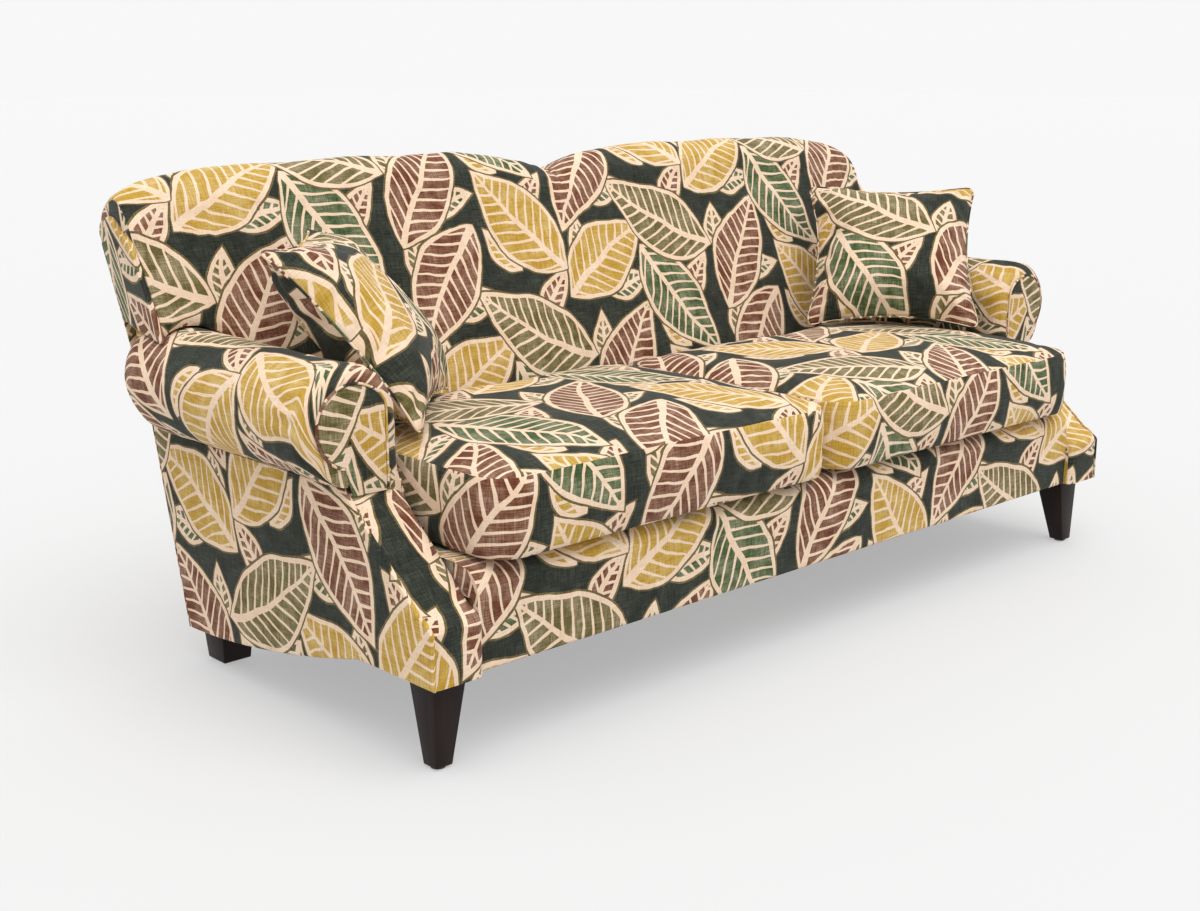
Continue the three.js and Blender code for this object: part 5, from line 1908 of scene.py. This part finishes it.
@dataclass
class SeatCushions:
    """The two loose box cushions; sizes in metres."""

    finishes: Finishes
    rows: PathTree
    puff: Puff = Puff(pressure=3.2, cap=0.008, slack=0.012, stiffness=14.0, bending=0.5)
    corner: float = 0.06
    boxing: float = 0.137
    bulge: float = 0.008
    draw_in: float = 0.003
    puffed_edge: float = 0.006
    puffed_reach: float = 0.022
    ceiling: float = 0.006
    firm: float = 0.92
    dips: tuple[tuple, ...] = ((0.003, 110, 0.2),)
    pucker: float = 0.0012
    pucker_gap: float = 0.041
    seam_low: float = 0.007
    underside: float = 0.006
    tooth: Triple = (0.0014, 0.0044, 0.0018)
    tooth_gap: float = 0.0032
    zip_inset: float = 0.12
    print_shift: float = 0.04
    print_up: float = 0.62
    cell: float = 0.0125
    hollow: int = 8
    squareness: int = 24
    dip_reach: float = 0.12
    underside_reach: float = 0.05
    pucker_wander: Pair = (2, 19)
    pucker_end: float = 0.03
    boxing_rows: int = 10
    boxing_bulge: float = 0.8
    boxing_power: float = 0.6
    seam_crease: float = 0.85
    zip_out: float = 0.42

    def rim(self, grid: Array) -> Array:
        """Takes the closed rim of a grid of points, from its rear left corner."""
        line = np.concatenate([grid[:0:-1, 0], grid[0, :-1], grid[:-1, -1], grid[-1, :0:-1]])
        return np.concatenate([line, line[:1]])

    def sewn(self, side: Side, low: Vector, high: Vector) -> tuple[Object, Array]:
        """Sews the cushion's top, boxing and underside.

        Args:
            side: Which cushion.
            low: Lowest corner of its room.
            high: Highest corner of its room.

        Returns:
            The cushion and the heights of its two seams.
        """
        centre = (low + high) / 2
        half = [(high[k] - low[k]) / 2 - self.bulge - CLEAR for k in (0, 1)]
        s, t = np.meshgrid(*[np.linspace(-1, 1, round(2 * reach / self.cell) + 1) for reach in half])
        x, y = softened(s * half[0], t * half[1], half, self.corner)
        x = x - np.sign(x) * self.draw_in * np.abs(s) ** self.hollow * (1 - t ** 2)
        y = y - np.sign(y) * self.draw_in * np.abs(t) ** self.hollow * (1 - s ** 2)
        room = np.minimum(half[0] * (1 - np.abs(s)), half[1] * (1 - np.abs(t)))
        puffed = self.puffed_edge * (1 - np.exp(-room / self.puffed_reach))
        crown = high.z - low.z - self.boxing - self.puffed_edge
        lift = crown * (1 - np.abs(s) ** 3) * (1 - np.abs(t) ** 3) + puffed
        lift += rippled(x, y, self.dips, 10 * side.value) * smooth(room, 0, self.dip_reach)
        seam_low, seam_high = low.z + self.seam_low, low.z + self.boxing
        top = columns(x + centre.x, y + centre.y, seam_high + lift)
        drop = self.underside * smooth(room, 0, self.underside_reach)
        bottom = columns(x + centre.x, y + centre.y, seam_low - drop)
        spots = columns(x + centre.x + self.print_shift, y + self.print_up)
        skin = Skin()
        skin.patch(top, spots)
        skin.patch(bottom[:, ::-1], spots[:, ::-1] * np.array([1.0, -1.0]))
        rim = self.rim(top)
        around = arc_lengths(rim)
        away = (rim[:, :2] - np.array([centre.x, centre.y])) / np.array(half)
        outward = unit(np.sign(away) * np.abs(np.clip(away, -1, 1)) ** self.squareness)
        wander, pace = self.pucker_wander
        pucker = self.pucker * np.sin(TURN * around / self.pucker_gap + wander * np.sin(pace * around))
        pucker *= smooth(np.minimum(around, around[-1] - around), 0, self.pucker_end)
        rows = []
        for step in np.linspace(0, 1, self.boxing_rows):
            arch = math.sin(math.pi * step) ** self.boxing_power
            swell = self.bulge * self.boxing_bulge * arch * (0 < step < 1)
            swell = swell + pucker * math.sin(2 * math.pi * step) ** 2
            level = seam_low + (seam_high - seam_low) * step
            rows.append(columns(*(rim[:, :2] + outward * swell[:, None]).T, level))
        rows = np.array(rows)
        boxed = around - around[len(top) - 1] + top[0, 0, 0] + self.print_shift
        skin.patch(rows, columns(boxed, rows[..., 2]))
        piece = skin.sewn(side.node("seat_box_cushion"), self.finishes.printed, NO_CREASE)
        return piece, np.array([seam_low, seam_high])

    def cushion(self, side: Side) -> None:
        """Makes one cushion: sewn, blown up, kept in its room and smoothed.

        Args:
            side: Which cushion.
        """
        node = side.node("seat_cushion")
        low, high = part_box(node)
        piece, seams = self.sewn(side, low, high)
        mesh = piece.data
        co = places(mesh)
        aside = np.abs(co - np.array(low + high) / 2) - np.array(high - low) / 2
        on_rim = aside[:, :2].max(1) > -self.bulge - self.draw_in - self.corner * 0.3 - 2 * CLEAR
        on_seam = (np.abs(co[:, 2:] - seams).min(1) < 4 * MERGE) & on_rim
        self.puff.blow(piece, np.where(on_seam, self.firm, np.where(co[:, 2] <= seams[0], 0.5, 0.0)))
        margin = np.array([CLEAR, CLEAR, CLEAR / 2])
        ceiling = np.array(high) + np.array([-CLEAR, -CLEAR, self.ceiling])
        mesh.vertices.foreach_set("co", np.clip(places(mesh), np.array(low) + margin, ceiling).ravel())
        creased(mesh, on_seam, self.seam_crease)
        subdivided(piece)
        body = side.node("seat")
        dress(piece, node, body)
        level = low.z + self.boxing / 2
        y = high.y - self.bulge * self.zip_out
        path = columns((low.x + self.zip_inset, high.x - self.zip_inset), y, level)
        teeth = self.rows.grow(side.node("cushion_zip"), [path], False, Spacing=self.tooth_gap,
                               Size=self.tooth, Out=(0.0, 1.0, 0.0), Finish=self.finishes.steel)
        dress(teeth, body=body)

    def build(self) -> None:
        """Builds and dresses both cushions."""
        for side in Side:
            self.cushion(side)


@dataclass
class ScatterCushions:
    """The two knife-edged cushions that lean into the corners; sizes in metres, turns in degrees."""

    finishes: Finishes
    welt: PathTree
    turns: Pair = (-50.0, -45.0)
    lean: float = 40.0
    size: float = 0.4
    draw_in: float = 0.026
    corner: float = 0.03
    puff: Puff = Puff(pressure=4.5, cap=0.012, slack=0.03, stiffness=10.0, bending=0.25)
    cord: float = 0.0024
    edge: float = 0.004
    plump_room: float = 0.007
    pinch: float = 0.009
    edge_fold: float = 0.003
    corner_drop: float = 0.009
    waves: tuple[tuple, ...] = ((0.004, 130, 0.13),)
    steps: int = 36
    fullness: Pair = (2.4, 0.58)
    pinch_rays: Pair = (10, 1.3)
    pinch_reach: Pair = (0.15, 0.6)
    fold_count: tuple[int, int, int] = (23, 3, 5)
    fold_reach: Pair = (0.6, 0.95)
    crease_power: float = 0.6
    past_edge: float = 1.02
    rear_share: float = 0.97
    print_shift: Pair = (0.2, 0.37)
    rear_shift: float = 0.21

    def axes(self, side: Side) -> Array:
        """Finds the cushion's own directions: across, up and out of its face.

        Args:
            side: Which cushion.

        Returns:
            Three unit rows.
        """
        turn = math.radians(self.turns[0] if side is Side.RIGHT else self.turns[1])
        tilt = math.radians(90 - self.lean)
        across = np.array([math.cos(turn), math.sin(turn), 0.0])
        up = np.array([-math.sin(turn) * math.cos(tilt), math.cos(turn) * math.cos(tilt), math.sin(tilt)])
        found = np.array([across, up, np.cross(across, up)])
        found[:, 0] *= side.value
        return found

    def cushion(self, side: Side) -> None:
        """Makes one cushion and its piping.

        Args:
            side: Which cushion.
        """
        node = side.node("scatter_cushion")
        axes = self.axes(side)
        reach = places(frame["nodes"][node].data) @ axes.T
        low, high = reach.min(0), reach.max(0)
        centre = (low + high) / 2
        half = self.size / 2 - self.edge
        plump = (high[2] - low[2]) / 2 - self.plump_room
        s, t = np.meshgrid(*[np.linspace(-1, 1, self.steps + 1)] * 2)
        x = s * half - np.sign(s) * self.draw_in * np.abs(s) ** 3 * (1 - t ** 2)
        y = t * half - np.sign(t) * self.draw_in * np.abs(t) ** 3 * (1 - s ** 2)
        x, y = softened(x, y, (half, half), self.corner)
        flatness, roundness = self.fullness
        swell = ((1 - np.abs(s) ** flatness) * (1 - np.abs(t) ** flatness)) ** roundness
        ray = np.arctan2(self.past_edge - np.abs(t), self.past_edge - np.abs(s))
        rays, phase = self.pinch_rays
        pinch = self.pinch * np.sin(rays * ray + phase) * smooth(np.abs(s * t), *self.pinch_reach)
        near_edge = np.maximum(np.abs(s), np.abs(t))
        fine, wander, slow = self.fold_count
        fold = self.edge_fold * np.sin(fine * (s + t) + wander * np.sin(slow * s))
        fold *= smooth(near_edge, *self.fold_reach)
        ripple = rippled(x, y, self.waves, side.value)
        z = plump * swell + (ripple + pinch + fold) * swell ** self.crease_power
        across, up = self.print_shift
        spots = columns(x * side.value + across + 0.1 * side.value, y + up)
        flat = columns(x, y, -self.corner_drop * np.abs(s * t) ** 3)
        rise = z[..., None] * np.array(UP)
        skin = Skin()
        skin.patch(flat + rise, spots)
        skin.patch((flat - self.rear_share * rise)[::-1], spots[::-1] + self.rear_shift)
        piece = skin.sewn(side.node("scatter_pillow"), self.finishes.printed, NO_CREASE)
        co = places(piece.data)
        seam = flat[near_edge > 1 - MERGE]
        rim = np.linalg.norm(co[:, None] - seam[None], axis=-1).min(1) < 4 * MERGE
        self.puff.blow(piece, np.where(rim, 1.0, 0.0))
        creased(piece.data, rim, 1.0)
        subdivided(piece)
        co = places(piece.data)
        limit = (high[2] - low[2]) / 2 - CLEAR
        co[:, 2] = np.clip(co[:, 2], -limit, limit)
        piece.data.vertices.foreach_set("co", ((co + centre) @ axes).ravel())
        if side is Side.LEFT:
            piece.data.flip_normals()
        piece.data.update()
        body = side.node("scatter")
        dress(piece, node, body)
        edge_line = np.concatenate([flat[0, :-1], flat[:-1, -1], flat[-1, :0:-1], flat[:0:-1, 0]])
        cord = self.welt.grow(side.node("scatter_piping"), [(edge_line + centre) @ axes], True,
                              Radius=self.cord, Shift=(0.1, 0.5, 0.0), Finish=self.finishes.printed)
        dress(cord, body=body)

    def build(self) -> None:
        """Builds and dresses both cushions."""
        for side in Side:
            self.cushion(side)


@dataclass
class Legs:
    """The four tapered legs, with softened edges; sizes in metres."""

    finishes: Finishes
    bevel: float = 0.0016
    flat: float = 1.5
    shortest: float = 0.02

    def leg(self, node: str) -> None:
        """Makes one leg from the frame's own solid.

        Args:
            node: The leg's node.
        """
        mesh = frame["nodes"][node].data.copy()
        work = bmesh.new()
        work.from_mesh(mesh)
        bmesh.ops.remove_doubles(work, verts=work.verts, dist=MERGE)
        flat = math.radians(self.flat)
        bmesh.ops.dissolve_limit(work, angle_limit=flat, verts=work.verts, edges=work.edges)
        outer = [line for line in work.edges
                 if line.calc_length() > self.shortest and len(line.link_faces) == 2]
        bmesh.ops.bevel(work, geom=outer, offset=self.bevel, segments=3, profile=0.5, affect="EDGES")
        work.to_mesh(mesh)
        work.free()
        piece = finished(mesh, node.replace("leg", "tapered_leg"), self.finishes.espresso, 30)
        dress(piece, node)

    def build(self) -> None:
        """Builds and dresses the legs."""
        for end in ("front", "rear"):
            for side in Side:
                self.leg(side.node(f"leg_{end}"))


@dataclass
class Structure:
    """The frame's own pieces that stay as they are and get their finish."""

    finishes: Finishes

    def finish_of(self, node: str) -> Material:
        """Chooses the material of a node by its name."""
        hard = {"spring": self.finishes.steel, "bolt": self.finishes.steel, "glide": self.finishes.nylon}
        return next((finish for word, finish in hard.items() if word in node), self.finishes.beech)

    def build(self) -> None:
        """Dresses every node that still shows."""
        shown = {name: node for name, node in frame["nodes"].items() if not node.hide_render}
        for name, node in shown.items():
            node.data.materials.clear()
            node.data.materials.append(self.finish_of(name))
        log.info("frame pieces dressed: %d", len(shown))


@dataclass
class Studio:
    """A plain pale floor that fades into the room and glows a little as painted light, lifting the shadow
    under the sofa; soft light and the camera.
    """

    camera_place: Triple = (-2.348, -2.306, 1.0824)
    camera_pitch: float = math.pi / 2 - 0.2397
    camera_heading: float = -0.7565
    lens: float = 48.975
    floor_half: float = 40.0
    floor_tone: float = 0.324
    floor_painted_light: float = 0.402
    room_light: float = 0.94
    sun_power: float = 2.2
    sun_spread: float = math.radians(60)
    sun_turn: Triple = (math.radians(20), 0.0, math.radians(-12))

    def camera(self) -> None:
        """Sets the camera at the photograph's angle."""
        data = bpy.data.cameras.new("camera")
        data.lens = self.lens
        data.sensor_fit = "HORIZONTAL"
        camera = linked("camera", data)
        camera.location = self.camera_place
        camera.rotation_euler = (self.camera_pitch, 0.0, self.camera_heading)
        bpy.context.scene.camera = camera

    def floor(self) -> None:
        """Lays the floor, whose faint glow is painted light that lightens the shadow under the sofa."""
        low, high = -self.floor_half, self.floor_half
        mesh = bpy.data.meshes.new("floor")
        mesh.from_pydata([(low, low, 0), (high, low, 0), (high, high, 0), (low, high, 0)], [], [(0, 1, 2, 3)])
        tone = (self.floor_tone, self.floor_tone, self.floor_tone, 1.0)
        # Emission on the floor is painted light: it lightens the shadow under the sofa without a lamp.
        material = principled("pale_floor", Base_Color=tone, Roughness=0.85, Specular_IOR_Level=0.1,
                              Emission_Strength=self.floor_painted_light)[0]
        mesh.materials.append(material)
        linked("floor", mesh)

    def build(self) -> None:
        """Builds the floor, the lights and the camera."""
        self.camera()
        self.floor()
        sun = bpy.data.lights.new("sun", "SUN")
        sun.energy = self.sun_power
        sun.angle = self.sun_spread
        linked("sun", sun).rotation_euler = self.sun_turn
        world = bpy.data.worlds.new("studio")
        world.use_nodes = True
        sky = world.node_tree.nodes["Background"]
        sky.inputs["Color"].default_value = (1.0, 1.0, 1.0, 1.0)
        sky.inputs["Strength"].default_value = self.room_light
        bpy.context.scene.world = world
        bpy.context.scene.view_settings.view_transform = "Standard"


def main() -> None:
    """Builds the sofa's finished look in order."""
    logging.basicConfig(level=logging.INFO, format="%(message)s")
    Studio().build()
    finishes = Finishes()
    welt = welt_tree()
    rows = row_tree()
    form = SofaForm()
    arms = Arms(form, finishes.printed, welt)
    arms.build()
    Back(form, arms, finishes.printed).build()
    Base(form, finishes, rows).build()
    SeatCushions(finishes, rows).build()
    ScatterCushions(finishes, welt).build()
    Legs(finishes).build()
    Structure(finishes).build()


if __name__ == "__main__":
    main()
